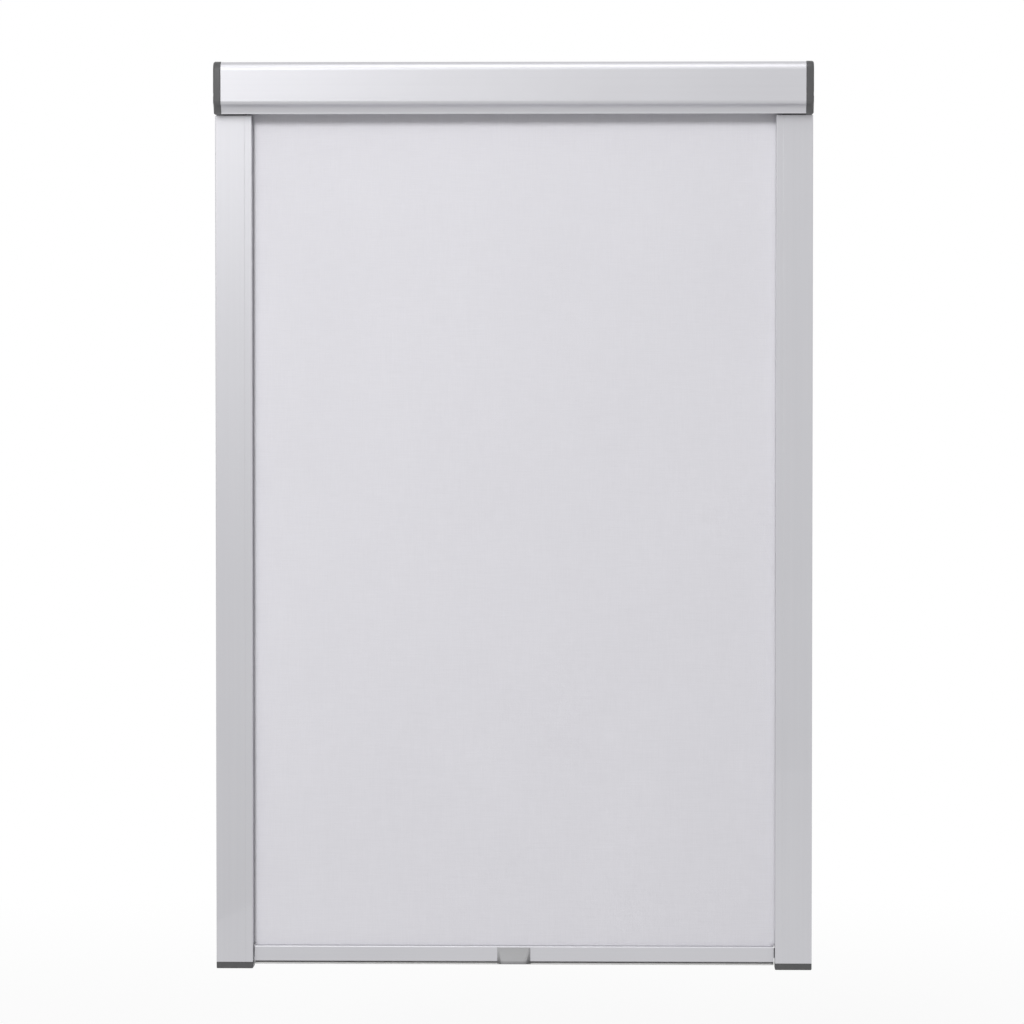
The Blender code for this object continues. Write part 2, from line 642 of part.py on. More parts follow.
def add_rail_foot(name, side, casing, finishes):
    """The moulded foot that closes a rail, with a plug in the chamber and a stop in the channel."""
    outline = arc((RAIL_WIDTH - RAIL_ROUND, RAIL_DEPTH - RAIL_ROUND), RAIL_ROUND, 0, 90)
    outline += arc((RAIL_ROUND, RAIL_DEPTH - RAIL_ROUND), RAIL_ROUND, 90, 180)
    outline += [(0.0, 0.0), (RAIL_WIDTH, 0.0)]
    place = mirrored(along_z, side)
    shape = rounded_block(outline, place, 0.0, -FOOT_HEIGHT, FOOT_ROUND)
    spot = (side * RAIL_INNER, 0.0, RAIL_FLOOR - SEAT_GAP)
    foot = add_piece(name, shape, finishes["dark_plastic"], casing, spot)
    sink = FOOT_HEIGHT / 2
    inset = RAIL_WALL + SEAT_GAP
    plug_low = (SIDE_CHAMBER[0] + SEAT_GAP, inset)
    plug_high = (SIDE_CHAMBER[1] - SEAT_GAP, RAIL_DEPTH - inset)
    combine(foot, prism([box_loop(plug_low, plug_high)], place, -sink, FOOT_PLUG), "UNION")
    core_low = (plug_low[0] + PEG_WALL, plug_low[1] + PEG_WALL)
    core_high = (plug_high[0] - PEG_WALL, plug_high[1] - PEG_WALL)
    combine(foot, prism([box_loop(core_low, core_high)], place, 0.0, FOOT_PLUG + sink), "DIFFERENCE")
    stop_low = (LIP_WIDTH + SEAT_GAP, CHANNEL_BACK + SEAT_GAP)
    stop_high = (CHANNEL_FAR - SEAT_GAP, CHANNEL_FRONT - SEAT_GAP)
    stop_top = FOOT_STOP + SEAT_GAP
    combine(foot, prism([box_loop(stop_low, stop_high)], place, -sink, stop_top), "UNION")


def ring_with_notch(radius, half_width, floor):
    """A circle about the origin whose top is cut square down to the floor."""
    edge = degrees(asin(half_width / radius))
    points = arc((0.0, 0.0), radius, 90 + edge, 450 - edge, ROUND_STEPS)
    return points + [(half_width, floor), (-half_width, floor)]


def key_floor():
    """The height of the keyway's floor above the roller's axis."""
    return TUBE_RADIUS - TUBE_KEY_LIP - TUBE_KEY_DEPTH


def tube_bore(gap):
    """The tube's bore, with the keyway's hump at its top, made smaller by the gap."""
    half_width = TUBE_KEY_WIDTH / 2 + TUBE_WALL + gap
    return ring_with_notch(TUBE_RADIUS - TUBE_WALL - gap, half_width, key_floor() - TUBE_WALL - gap)


def add_roller_tube(roller, finishes):
    """The aluminium tube, with an undercut keyway along its top."""
    neck = TUBE_KEY_NECK / 2
    half_key = TUBE_KEY_WIDTH / 2
    under = TUBE_RADIUS - TUBE_KEY_LIP
    edge = degrees(asin(neck / TUBE_RADIUS))
    outline = arc((0.0, 0.0), TUBE_RADIUS, 90 + edge, 450 - edge, ROUND_STEPS)
    outline += [(neck, under), (half_key, under), (half_key, key_floor())]
    outline += [(-half_key, key_floor()), (-half_key, under), (-neck, under)]
    shape = prism([outline, tube_bore(0.0)], along_x, -TUBE_HALF, TUBE_HALF)
    add_piece("roller_tube", shape, finishes["aluminium"], roller)
    half_strip = half_key - SEAT_GAP
    strip = box_loop((-half_strip, key_floor() + SEAT_GAP), (half_strip, under - SEAT_GAP))
    shape = prism([strip], along_x, -FABRIC_HALF, FABRIC_HALF)
    add_piece("roller_spline", shape, finishes["white_plastic"], roller)


def add_tube_plug(name, side, bore, nose, roller, finishes):
    """A plug pressed into the tube's end, with a flange outside and a running bore."""
    flange = rod(TUBE_HALF + SEAT_GAP, FLANGE_END, TUBE_RADIUS + PLUG_FLANGE_PROUD, side, ROUND_STEPS)
    plug = add_piece(name, flange, finishes["white_plastic"], roller)
    inner_end = TUBE_HALF - PLUG_LENGTH
    body = prism([tube_bore(SEAT_GAP)], mirrored(along_x, side), inner_end, FLANGE_END - PLUG_FLANGE / 2)
    combine(plug, body, "UNION")
    if nose:
        combine(plug, rod(inner_end - NOSE_LENGTH, TUBE_HALF, NOSE_RADIUS, side, ROUND_STEPS), "UNION")
    hole = rod(inner_end - 2 * NOSE_LENGTH, FLANGE_END + NOSE_LENGTH, bore, side, ROUND_STEPS)
    combine(plug, hole, "DIFFERENCE")


def add_counterbalance(casing, roller, finishes):
    """The fixed shaft and its anchor, and the torsion spring between the anchor and the plug."""
    axis = (0.0, -ROLLER_DEPTH, ROLLER_Z)
    spring_start = -(TUBE_HALF - PLUG_LENGTH - SEAT_GAP - SPRING_WIRE / 2)
    spring_end = spring_start + SPRING_TURNS * SPRING_PITCH
    anchor_face = spring_end + SPRING_WIRE / 2 + SEAT_GAP
    anchor_end = anchor_face + ANCHOR_LENGTH
    shaft_start = -(BOSS_END + SOCKET_DEPTH - SEAT_GAP)
    shape = rod(shaft_start, anchor_end + NOSE_LENGTH, SHAFT_RADIUS, 1, SHAFT_SIDES)
    add_piece("spring_shaft", shape, finishes["steel"], casing, axis)
    hub = [(anchor_face - NOSE_LENGTH, 0.0), (anchor_face - NOSE_LENGTH, NOSE_RADIUS)]
    hub += [(anchor_face, NOSE_RADIUS), (anchor_face, ANCHOR_RADIUS)]
    hub += [(anchor_end, ANCHOR_RADIUS), (anchor_end, 0.0)]
    shape = turned(hub, 1, ROUND_STEPS)
    anchor = add_piece("spring_anchor", shape, finishes["white_plastic"], casing, axis)
    bore = SHAFT_RADIUS + SEAT_GAP
    hole = rod(anchor_face - 2 * NOSE_LENGTH, anchor_end + NOSE_LENGTH, bore, 1, SHAFT_SIDES)
    combine(anchor, hole, "DIFFERENCE")
    points = helix(SPRING_RADIUS, SPRING_PITCH, SPRING_TURNS)
    print_coil_gap("torsion_spring", points, SPRING_WIRE)
    place = (spring_start, 0.0, 0.0)
    add_wire("torsion_spring", points, SPRING_WIRE, finishes["steel"], roller, place)


def add_idler_pin(casing, finishes):
    """The pin on which the far end of the roller turns."""
    inner = BOSS_END - IDLER_PIN_REACH
    outer = BOSS_END + SOCKET_DEPTH - SEAT_GAP
    nose = IDLER_PIN_NOSE
    profile = [(inner, 0.0), (inner, IDLER_PIN_RADIUS - nose), (inner + nose, IDLER_PIN_RADIUS)]
    profile += [(outer, IDLER_PIN_RADIUS), (outer, 0.0)]
    axis = (0.0, -ROLLER_DEPTH, ROLLER_Z)
    add_piece("idler_pin", turned(profile, 1, ROUND_STEPS), finishes["steel"], casing, axis)


def add_fabric_roll(roller, finishes):
    """The wraps on the roller: a spiral strip that leaves the roll at its back."""
    first = SEAT_GAP / ROLL_RADIUS
    last = 2 * pi * WRAPS
    count = int(WRAPS * WRAP_STEPS)
    outside = []
    inside = []
    for step in range(count + 1):
        swing = first + (last - first) * step / count
        middle = ROLL_RADIUS - WRAP_PITCH * swing / (2 * pi)
        heading = (-cos(swing), sin(swing))
        outer = middle + FABRIC_THICKNESS / 2
        inner = middle - FABRIC_THICKNESS / 2
        outside.append((outer * heading[0], outer * heading[1]))
        inside.append((inner * heading[0], inner * heading[1]))
    shape = prism([outside + inside[::-1]], along_x, -FABRIC_HALF, FABRIC_HALF)
    add_piece("fabric_roll", shape, finishes["fabric"], roller)


def add_fabric(bar, finishes):
    """The hanging sheet, full width above the bar and narrowed where the bar holds it."""
    hem = BAR_HALF - TONGUE_MARGIN
    foot = KEYWAY_Z + KEYWAY_RADIUS
    step = BAR_HEIGHT + TONGUE_MARGIN
    top = ROLLER_Z - BAR_FLOOR
    outline = [(-hem, foot), (hem, foot), (hem, step), (FABRIC_HALF, step)]
    outline += [(FABRIC_HALF, top), (-FABRIC_HALF, top), (-FABRIC_HALF, step), (-hem, step)]
    half = FABRIC_THICKNESS / 2
    shape = prism([outline], lambda across, height, depth: Vector((across, -depth, height)), -half, half)
    add_piece("fabric", shape, finishes["fabric"], bar)


def bar_section():
    """The bar's section: a hollow bar with a round keyway above and a T groove below."""
    back = BAR_BACK_FACE
    front = BAR_FRONT_FACE
    neck = SEAL_NECK / 2
    head = SEAL_HEAD / 2
    pocket = SEAL_LIP + SEAL_POCKET
    groove = [(-neck, 0.0), (-neck, SEAL_LIP), (-head, SEAL_LIP), (-head, pocket)]
    groove += [(head, pocket), (head, SEAL_LIP), (neck, SEAL_LIP), (neck, 0.0)]
    throat = degrees(asin(KEYWAY_NECK / 2 / KEYWAY_RADIUS))
    keyway = [(KEYWAY_NECK / 2, BAR_HEIGHT)]
    keyway += arc((0.0, KEYWAY_Z), KEYWAY_RADIUS, 90 - throat, throat - 270, SMALL_STEPS)
    keyway += [(-KEYWAY_NECK / 2, BAR_HEIGHT)]
    small = BAR_FOOT_ROUND
    large = BAR_TOP_ROUND
    outline = arc((back + small, small), small, 180, 270) + groove
    outline += arc((front - small, small), small, 270, 360)
    outline += arc((front - large, BAR_HEIGHT - large), large, 0, 90) + keyway
    outline += arc((back + small, BAR_HEIGHT - small), small, 90, 180)
    near = back + BAR_WALL
    far = front - BAR_WALL
    roof = BAR_HEIGHT - BAR_WALL
    key_side = KEYWAY_RADIUS + BAR_WALL
    chamber = [(near, CHAMBER_FLOOR), (far, CHAMBER_FLOOR), (far, roof), (key_side, roof)]
    chamber += [(key_side, CHAMBER_ROOF), (-key_side, CHAMBER_ROOF), (-key_side, roof), (near, roof)]
    return [outline, chamber]


def add_bottom_bar(bar, finishes):
    """The bar itself, the spline that holds the fabric in it, and its rubber strip."""
    shape = prism(bar_section(), along_x, -BAR_HALF, BAR_HALF)
    add_piece("bottom_bar", shape, finishes["aluminium"], bar)
    hem = BAR_HALF - TONGUE_MARGIN
    spline = rod(-hem, hem, KEYWAY_RADIUS - SEAT_GAP)
    add_piece("bar_spline", spline, finishes["white_plastic"], bar, (0.0, 0.0, KEYWAY_Z))
    half_head = SEAL_HEAD / 2 - SEAT_GAP
    half_neck = SEAL_NECK / 2 - SEAT_GAP
    half_foot = SEAL_FOOT / 2
    under = SEAL_LIP + SEAT_GAP
    over = SEAL_LIP + SEAL_POCKET - SEAT_GAP
    strip = [(-half_foot, -SEAL_DROP), (half_foot, -SEAL_DROP), (half_foot, -SEAL_WAIST)]
    strip += [(half_neck, -SEAL_WAIST), (half_neck, under), (half_head, under), (half_head, over)]
    strip += [(-half_head, over), (-half_head, under), (-half_neck, under)]
    strip += [(-half_neck, -SEAL_WAIST), (-half_foot, -SEAL_WAIST)]
    shape = prism([strip], along_x, -BAR_HALF, BAR_HALF)
    add_piece("bar_seal", shape, finishes["rubber"], bar)


def shoe_outline():
    """The slider's shoe across and into the channel, with small chamfers."""
    near = LIP_WIDTH + SEAT_GAP
    far = CHANNEL_FAR - SHOE_SIDE_GAP
    half = CHANNEL_DEPTH / 2 - SEAT_GAP
    cut = SHOE_CHAMFER
    back = [(near, cut - half), (near + cut, -half), (far - cut, -half), (far, cut - half)]
    front = [(far, half - cut), (far - cut, half), (near + cut, half), (near, half - cut)]
    return back + front


def add_slider(name, side, bar, finishes):
    """A slider: a plug in the bar, a tongue through the slot and a shoe in the rail's channel."""
    spot = (side * RAIL_INNER, 0.0, 0.0)
    shoe_low = SHOE_FLOOR - BAR_FLOOR
    shape = prism([shoe_outline()], mirrored(along_z, side), shoe_low, shoe_low + SHOE_HEIGHT)
    slider = add_piece(name, shape, finishes["grey_plastic"], bar, spot)
    half = TONGUE_THICKNESS / 2
    into_shoe = LIP_WIDTH + SHOE_CHAMFER + SEAT_GAP
    bar_end = -BAR_END_GAP
    tongue_height = (max(TONGUE_MARGIN, shoe_low), BAR_HEIGHT - TONGUE_MARGIN)
    tongue = side_box(side, (bar_end + SEAT_GAP, into_shoe), (-half, half), tongue_height)
    combine(slider, tongue, "UNION")
    plug_height = (CHAMBER_FLOOR + SEAT_GAP, CHAMBER_ROOF - SEAT_GAP)
    inset = BAR_WALL + SEAT_GAP
    plug_depth = (BAR_BACK_FACE + inset, BAR_FRONT_FACE - inset)
    plug = side_box(side, (bar_end - SLIDER_PLUG, -SEAT_GAP), plug_depth, plug_height)
    combine(slider, plug, "UNION")
    core_across = (bar_end - SLIDER_PLUG / 2, into_shoe)
    core_depth = (-half + SEAT_GAP, half - SEAT_GAP)
    core_height = (max(plug_height[0], shoe_low) + SEAT_GAP, plug_height[1] - SEAT_GAP)
    core = side_box(side, core_across, core_depth, core_height)
    combine(slider, core, "UNION")
    shoe_middle = shoe_low + SHOE_HEIGHT / 2
    pocket_across = (CHANNEL_FAR - SEAT_GAP - PAD_THICKNESS - SEAT_GAP, CHANNEL_FAR)
    pocket_half = (PAD_WIDTH / 2 + SEAT_GAP, PAD_HEIGHT / 2 + SEAT_GAP)
    pocket_height = (shoe_middle - pocket_half[1], shoe_middle + pocket_half[1])
    pocket = side_box(side, pocket_across, (-pocket_half[0], pocket_half[0]), pocket_height)
    combine(slider, pocket, "DIFFERENCE")
    bore_radius = BRAKE_SPRING_RADIUS + BRAKE_SPRING_WIRE / 2 + SEAT_GAP
    bore = rod(pocket_across[0] - BRAKE_BORE_DEPTH, CHANNEL_FAR, bore_radius, side)
    combine(slider, round_at(bore, 0.0, shoe_middle), "DIFFERENCE")


def add_brake(side_name, side, bar, finishes):
    """The pad that presses on the channel's outer wall, and the spring behind it."""
    shoe_middle = SHOE_FLOOR - BAR_FLOOR + SHOE_HEIGHT / 2
    spot = (side * RAIL_INNER, 0.0, shoe_middle)
    outer = CHANNEL_FAR - SEAT_GAP
    inner = outer - PAD_THICKNESS
    half_width = PAD_WIDTH / 2
    half_height = PAD_HEIGHT / 2
    face = box_loop((-half_width, -half_height), (half_width, half_height))
    shape = rounded_block(face, mirrored(along_x, side), inner, outer, PAD_ROUND)
    add_piece("brake_pad_" + side_name, shape, finishes["pile"], bar, spot)
    length = BRAKE_BORE_DEPTH - SEAT_GAP - BRAKE_SPRING_WIRE
    pitch = length / BRAKE_SPRING_TURNS
    start = inner - SEAT_GAP - BRAKE_SPRING_WIRE / 2
    points = helix(BRAKE_SPRING_RADIUS, pitch, BRAKE_SPRING_TURNS, -side)
    print_coil_gap("brake_spring_" + side_name, points, BRAKE_SPRING_WIRE)
    place = (side * (RAIL_INNER + start), 0.0, shoe_middle)
    add_wire("brake_spring_" + side_name, points, BRAKE_SPRING_WIRE, finishes["steel"], bar, place)


def handle_section(share, back, trim, proud):
    """One level of the handle: a flat back, slanted sides and a level front edge."""
    height = (1 - share) * (BAR_HEIGHT - HANDLE_TOP_SET) - share * HANDLE_DROP
    half_back = HANDLE_WIDTH / 2 - trim
    half_face = (HANDLE_FACE_TOP + (HANDLE_FACE_FOOT - HANDLE_FACE_TOP) * share) / 2 - trim
    front = back + proud
    corner = HANDLE_CORNER * proud
    slant = HANDLE_CORNER * (half_back - half_face)
    outline = [(-half_back, back), (-half_face - slant, front - corner), (-half_face + corner, front)]
    outline += [(half_face - corner, front), (half_face + slant, front - corner), (half_back, back)]
    return [Vector((across, -depth, height)) for across, depth in outline]


def handle_proud(share):
    """How far the face stands out from the bar: a sweep that grows towards the foot."""
    return HANDLE_TOP_PROUD + (HANDLE_FOOT_PROUD - HANDLE_TOP_PROUD) * share ** HANDLE_SWEEP


def add_handle(bar, finishes):
    """The moulded pull handle, hollow below, with a ledge that clips under the bar."""
    back = BAR_FRONT_FACE + SEAT_GAP
    tall = BAR_HEIGHT - HANDLE_TOP_SET + HANDLE_DROP
    round_start = 1 - HANDLE_ROUND / tall
    sections = []
    for step in range(HANDLE_STEPS):
        share = round_start * step / HANDLE_STEPS
        sections.append(handle_section(share, back, 0.0, handle_proud(share)))
    for swing in range(CORNER_STEPS + 1):
        turn = radians(90 * swing / CORNER_STEPS)
        share = round_start + (1 - round_start) * sin(turn)
        proud = handle_proud(share) - HANDLE_ROUND * (1 - cos(turn))
        sections.append(handle_section(share, back, 0.0, proud))
    handle = add_piece("pull_handle", lofted(sections), finishes["grey_plastic"], bar)
    half_ledge = HANDLE_WIDTH / 2 - HANDLE_WALL
    low = (-half_ledge, -back - HANDLE_LEDGE, -SEAT_GAP - HANDLE_LEDGE)
    high = (half_ledge, -back + HANDLE_LEDGE_REACH, -SEAT_GAP)
    combine(handle, box(low, high), "UNION")
    hollow = []
    for step in range(HANDLE_STEPS + 1):
        share = HANDLE_HOLLOW_TOP + (HANDLE_HOLLOW_FOOT - HANDLE_HOLLOW_TOP) * step / HANDLE_STEPS
        proud = handle_proud(share) - 2 * HANDLE_WALL
        hollow.append(handle_section(share, back + HANDLE_WALL, HANDLE_WALL, proud))
    combine(handle, lofted(hollow), "DIFFERENCE")


def build():
    """Make every piece and parent it to the frame that it rides on."""
    clear_scene()
    finishes = make_finishes()
    casing = add_empty("casing", (0.0, 0.0, 0.0))
    roller = add_empty("roller_axis", (0.0, -ROLLER_DEPTH, ROLLER_Z))
    bar = add_empty("bar_slide", (0.0, -FABRIC_DEPTH, BAR_FLOOR))
    add_head_box(casing, finishes)
    add_counterbalance(casing, roller, finishes)
    add_idler_pin(casing, finishes)
    sockets = {"left": (SHAFT_RADIUS, SHAFT_SIDES), "right": (IDLER_PIN_RADIUS, ROUND_STEPS)}
    for side_name, side in (("left", -1), ("right", 1)):
        add_end_cap("end_cap_" + side_name, side, casing, finishes, sockets[side_name])
        add_cap_screw("cap_screw_" + side_name + "_front", side, FRONT_PORT, casing, finishes)
        add_cap_screw("cap_screw_" + side_name + "_top", side, TOP_PORT, casing, finishes)
        add_side_rail("side_rail_" + side_name, side, casing, finishes)
        add_pile("pile_" + side_name + "_back", side, -1, casing, finishes)
        add_pile("pile_" + side_name + "_front", side, 1, casing, finishes)
        add_rail_foot("rail_foot_" + side_name, side, casing, finishes)
        add_slider("slider_" + side_name, side, bar, finishes)
        add_brake(side_name, side, bar, finishes)
    add_roller_tube(roller, finishes)
    add_tube_plug("spring_plug", -1, SHAFT_RADIUS + SEAT_GAP, True, roller, finishes)
    add_tube_plug("idler_plug", 1, IDLER_PIN_RADIUS + SEAT_GAP, False, roller, finishes)
    add_fabric_roll(roller, finishes)
    add_bottom_bar(bar, finishes)
    add_fabric(bar, finishes)
    add_handle(bar, finishes)


build()
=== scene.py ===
# %% [markdown]
# This lesson dresses the packed model of a roof window blind. The model already holds every piece at
# its real size and place, so what is left is the finish of each surface and the fine forms that solids
# for collision leave out. All of it is made in the model's own frame, in metres, and each new piece
# rides on a body, so that the bar still slides and the roller still turns.

# %% Load the packed model
import json
from math import asin, cos, degrees, pi, radians, sin, sqrt, tan

import bmesh
import bpy
import numpy as np
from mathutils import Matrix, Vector
from mathutils.geometry import tessellate_polygon

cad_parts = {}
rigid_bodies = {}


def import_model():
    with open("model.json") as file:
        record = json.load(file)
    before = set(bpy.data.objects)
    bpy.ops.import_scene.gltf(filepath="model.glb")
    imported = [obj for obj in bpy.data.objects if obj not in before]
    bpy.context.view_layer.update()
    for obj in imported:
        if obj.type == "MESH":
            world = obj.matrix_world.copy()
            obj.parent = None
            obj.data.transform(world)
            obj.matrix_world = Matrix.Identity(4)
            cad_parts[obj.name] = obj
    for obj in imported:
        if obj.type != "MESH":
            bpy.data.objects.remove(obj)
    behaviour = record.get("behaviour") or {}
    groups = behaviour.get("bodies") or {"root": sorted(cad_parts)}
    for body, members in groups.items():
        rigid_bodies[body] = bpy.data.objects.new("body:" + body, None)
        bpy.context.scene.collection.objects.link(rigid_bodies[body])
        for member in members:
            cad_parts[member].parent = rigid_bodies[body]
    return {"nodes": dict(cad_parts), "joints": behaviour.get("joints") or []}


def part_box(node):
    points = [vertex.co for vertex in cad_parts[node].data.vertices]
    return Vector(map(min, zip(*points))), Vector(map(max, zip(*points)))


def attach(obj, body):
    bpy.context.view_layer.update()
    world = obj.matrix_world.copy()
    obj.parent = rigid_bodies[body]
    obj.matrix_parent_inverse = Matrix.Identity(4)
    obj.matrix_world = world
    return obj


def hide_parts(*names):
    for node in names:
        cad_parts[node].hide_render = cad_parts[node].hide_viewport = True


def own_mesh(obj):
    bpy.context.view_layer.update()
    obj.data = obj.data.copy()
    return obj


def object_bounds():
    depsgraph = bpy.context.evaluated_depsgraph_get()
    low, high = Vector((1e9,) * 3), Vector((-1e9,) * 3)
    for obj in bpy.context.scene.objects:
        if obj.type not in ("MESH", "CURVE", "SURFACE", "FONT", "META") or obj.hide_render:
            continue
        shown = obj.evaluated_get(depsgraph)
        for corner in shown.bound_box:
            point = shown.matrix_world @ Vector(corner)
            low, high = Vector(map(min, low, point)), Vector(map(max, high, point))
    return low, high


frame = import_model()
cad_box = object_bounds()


def mm(length, digits=1):
    """A length in metres as text in millimetres, for what the cells print."""
    return f"{length * 1000:.{digits}f} mm"


blind_low, blind_high = cad_box
blind_centre = (blind_low + blind_high) / 2
print(f"the blind is {mm(blind_high.x - blind_low.x)} wide and {mm(blind_high.z - blind_low.z)} high")

# %% [markdown]
# The photograph is taken almost square on, from several metres away. The right side is a hair taller
# than the left one and the top a hair wider than the foot, which a camera swung by a degree and a half
# and tilted down by not quite two explains. A long lens keeps the rails' edges nearly parallel. Two
# numbers tie the lens to the photograph: the pixel at which the blind's centre lies, and how many metres
# one pixel spans there.

# %% Camera
PHOTO_PIXELS = 1024
BLIND_AT_PIXEL = (513.0, 517.8)
PIXEL = 0.0010218
CAMERA_DISTANCE = 5.0
CAMERA_SWING = radians(1.5)
CAMERA_TILT = radians(1.8)
SENSOR_MM = 36.0


def link_object(name, data):
    """An object that holds a mesh, a lens or a lamp, linked to the scene."""
    made = bpy.data.objects.new(name, data)
    bpy.context.collection.objects.link(made)
    return made


lens = bpy.data.cameras.new("photo_lens")
lens.sensor_width = SENSOR_MM
lens.lens = SENSOR_MM * CAMERA_DISTANCE / (PHOTO_PIXELS * PIXEL)
camera = link_object("camera", lens)
bpy.context.scene.camera = camera
aim_right = (PHOTO_PIXELS / 2 - BLIND_AT_PIXEL[0]) * PIXEL
aim_up = (BLIND_AT_PIXEL[1] - PHOTO_PIXELS / 2) * PIXEL
aim = Vector((blind_centre.x + aim_right, blind_low.y, blind_centre.z + aim_up))
level = Vector((sin(CAMERA_SWING), -cos(CAMERA_SWING), 0.0))
towards_camera = level * cos(CAMERA_TILT) + Vector((0.0, 0.0, sin(CAMERA_TILT)))
camera.location = aim + CAMERA_DISTANCE * towards_camera
camera.rotation_euler = (pi / 2 - CAMERA_TILT, 0.0, CAMERA_SWING)
bpy.context.scene.view_settings.view_transform = "Standard"
print(f"lens {lens.lens:.1f} mm, looking at {tuple(round(x, 3) for x in aim)}")

# %% [markdown]
# Shader maths reads best as arithmetic. Nodes could be added and linked one by one, which takes five
# lines for a sum. Here a small class wraps a socket and overloads the operators, so that an expression
# such as 1 - mask adds its own Math nodes.

# %% Values in a shader
class Value:
    """A shader value for Python arithmetic, where each operator adds one Math node."""

    def __init__(self, finish, socket):
        self.finish = finish
        self.socket = socket

    def maths(self, operation, first, second=0.0):
        """One Math node on two values or numbers."""
        return self.finish.node("ShaderNodeMath", {"operation": operation}, {0: first, 1: second})

    def __add__(self, other):
        return self.maths("ADD", self, other)

    def __radd__(self, other):
        return self.maths("ADD", other, self)

    def __sub__(self, other):
        return self.maths("SUBTRACT", self, other)

    def __rsub__(self, other):
        return self.maths("SUBTRACT", other, self)

    def __mul__(self, other):
        return self.maths("MULTIPLY", self, other)

    def __rmul__(self, other):
        return self.maths("MULTIPLY", other, self)

    def sine(self):
        """The sine of the value, in radians."""
        return self.maths("SINE", self)

    def size(self):
        """The value without its sign."""
        return self.maths("ABSOLUTE", self)

    def at_most(self, other):
        """The smaller of two values."""
        return self.maths("MINIMUM", self, other)

    def at_least(self, other):
        """The larger of two values."""
        return self.maths("MAXIMUM", self, other)

    def clipped(self):
        """The value kept between 0 and 1."""
        return self.at_most(1.0).at_least(0.0)


print("a Value also knows:", ", ".join(name for name in vars(Value) if not name.startswith("_")))

# %% [markdown]
# A finish is one material. Every node comes from one method, which takes the node's kind, its settings
# and what feeds its sockets. All patterns start from the object's own coordinates, which are metres here,
# because they stay on a piece wherever its body moves. Each pattern is noise around 0, so a finish adds
# the patterns that it needs to a middle tint, and that share lies between a dark and a light colour.

# %% Finishes
MIDDLE_TINT = 0.5
NOISE_MEAN = 0.5


class Finish:
    """A material under construction, with one method that adds any node."""

    def __init__(self, name="", tree=None):
        if tree is None:
            self.material = bpy.data.materials.new(name)
            self.material.use_nodes = True
            tree = self.material.node_tree
        self.tree = tree

    def feed(self, socket, value):
        """Link a Value to a socket, or set the socket to a number or a colour."""
        if isinstance(value, Value):
            self.tree.links.new(value.socket, socket)
        else:
            socket.default_value = value

    def node(self, kind, settings=(), inputs=(), output=0):
        """Add a node with its settings, then feed its sockets, and return one output."""
        made = self.tree.nodes.new(kind)
        for name, value in dict(settings).items():
            setattr(made, name, value)
        for name, value in dict(inputs).items():
            self.feed(made.inputs[name], value)
        return Value(self, made.outputs[output])

    def outputs(self, kind, inputs=()):
        """Add a node and return all its outputs by name."""
        first = self.node(kind, inputs=inputs)
        return {socket.name: Value(self, socket) for socket in first.socket.node.outputs}

    def place(self, stretch=(1.0, 1.0, 1.0), offset=(0.0, 0.0, 0.0)):
        """Object coordinates times the stretch, plus the offset."""
        spot = self.node("ShaderNodeTexCoord", output="Object")
        inputs = {"Vector": spot, "Location": offset, "Scale": stretch}
        return self.node("ShaderNodeMapping", inputs=inputs)

    def axes(self, stretch=(1.0, 1.0, 1.0)):
        """The three stretched coordinates as separate values."""
        return list(self.outputs("ShaderNodeSeparateXYZ", {"Vector": self.place(stretch)}).values())

    def noise(self, stretch, detail=2.0):
        """Smooth noise around 0, from -0.5 to 0.5, with a grain of one over the stretch."""
        inputs = {"Vector": self.place(stretch), "Scale": 1.0, "Detail": detail}
        return self.node("ShaderNodeTexNoise", inputs=inputs) - NOISE_MEAN

    def mix(self, share, first, second):
        """A colour between two colours."""
        inputs = {0: share, 6: first, 7: second}
        settings = {"data_type": "RGBA", "clamp_factor": True}
        return self.node("ShaderNodeMix", settings, inputs, output=2)

    def bump(self, height, distance):
        """A normal from a height, where a height of 1 stands for the distance in metres."""
        return self.node("ShaderNodeBump", inputs={"Height": height, "Distance": distance})

    def surface(self, **sockets):
        """Feed the Principled shader, with underscores in place of spaces, and return the material."""
        shader = self.tree.nodes["Principled BSDF"]
        for name, value in sockets.items():
            self.feed(shader.inputs[name.replace("_", " ")], value)
        return self.material


print("a Finish knows:", ", ".join(name for name in vars(Finish) if not name.startswith("_")))

# %% [markdown]
# The head box, the rails and the bar are aluminium extrusions with a satin anodised skin. The die leaves
# faint lines along the extrusion, and the bath leaves a soft matt bloom. A picture of brushed metal would
# do, but it would stretch over the long faces, so both come from noise on the object's own coordinates:
# squeezed hard across the extrusion for the lines, and round for the bloom.

# %% Anodised aluminium
LINE_GRAIN = 2600.0
BAND_GRAIN = 260.0
LINE_STRETCH = 3.0
BLOOM_GRAIN = 9.0
SPECKLE_GRAIN = 1900.0
LINE_TINT = 0.5
BAND_TINT = 0.35
BLOOM_TINT = 0.6
LINE_HEIGHT = 0.7
SPECKLE_HEIGHT = 0.3
METAL_DEPTH = 0.000012
METAL_ROUGH = 0.42
BLOOM_ROUGH = 0.08
SPECKLE_ROUGH = 0.06
METAL_DARK = (0.543, 0.541, 0.567, 1.0)
METAL_LIGHT = (0.597, 0.595, 0.621, 1.0)


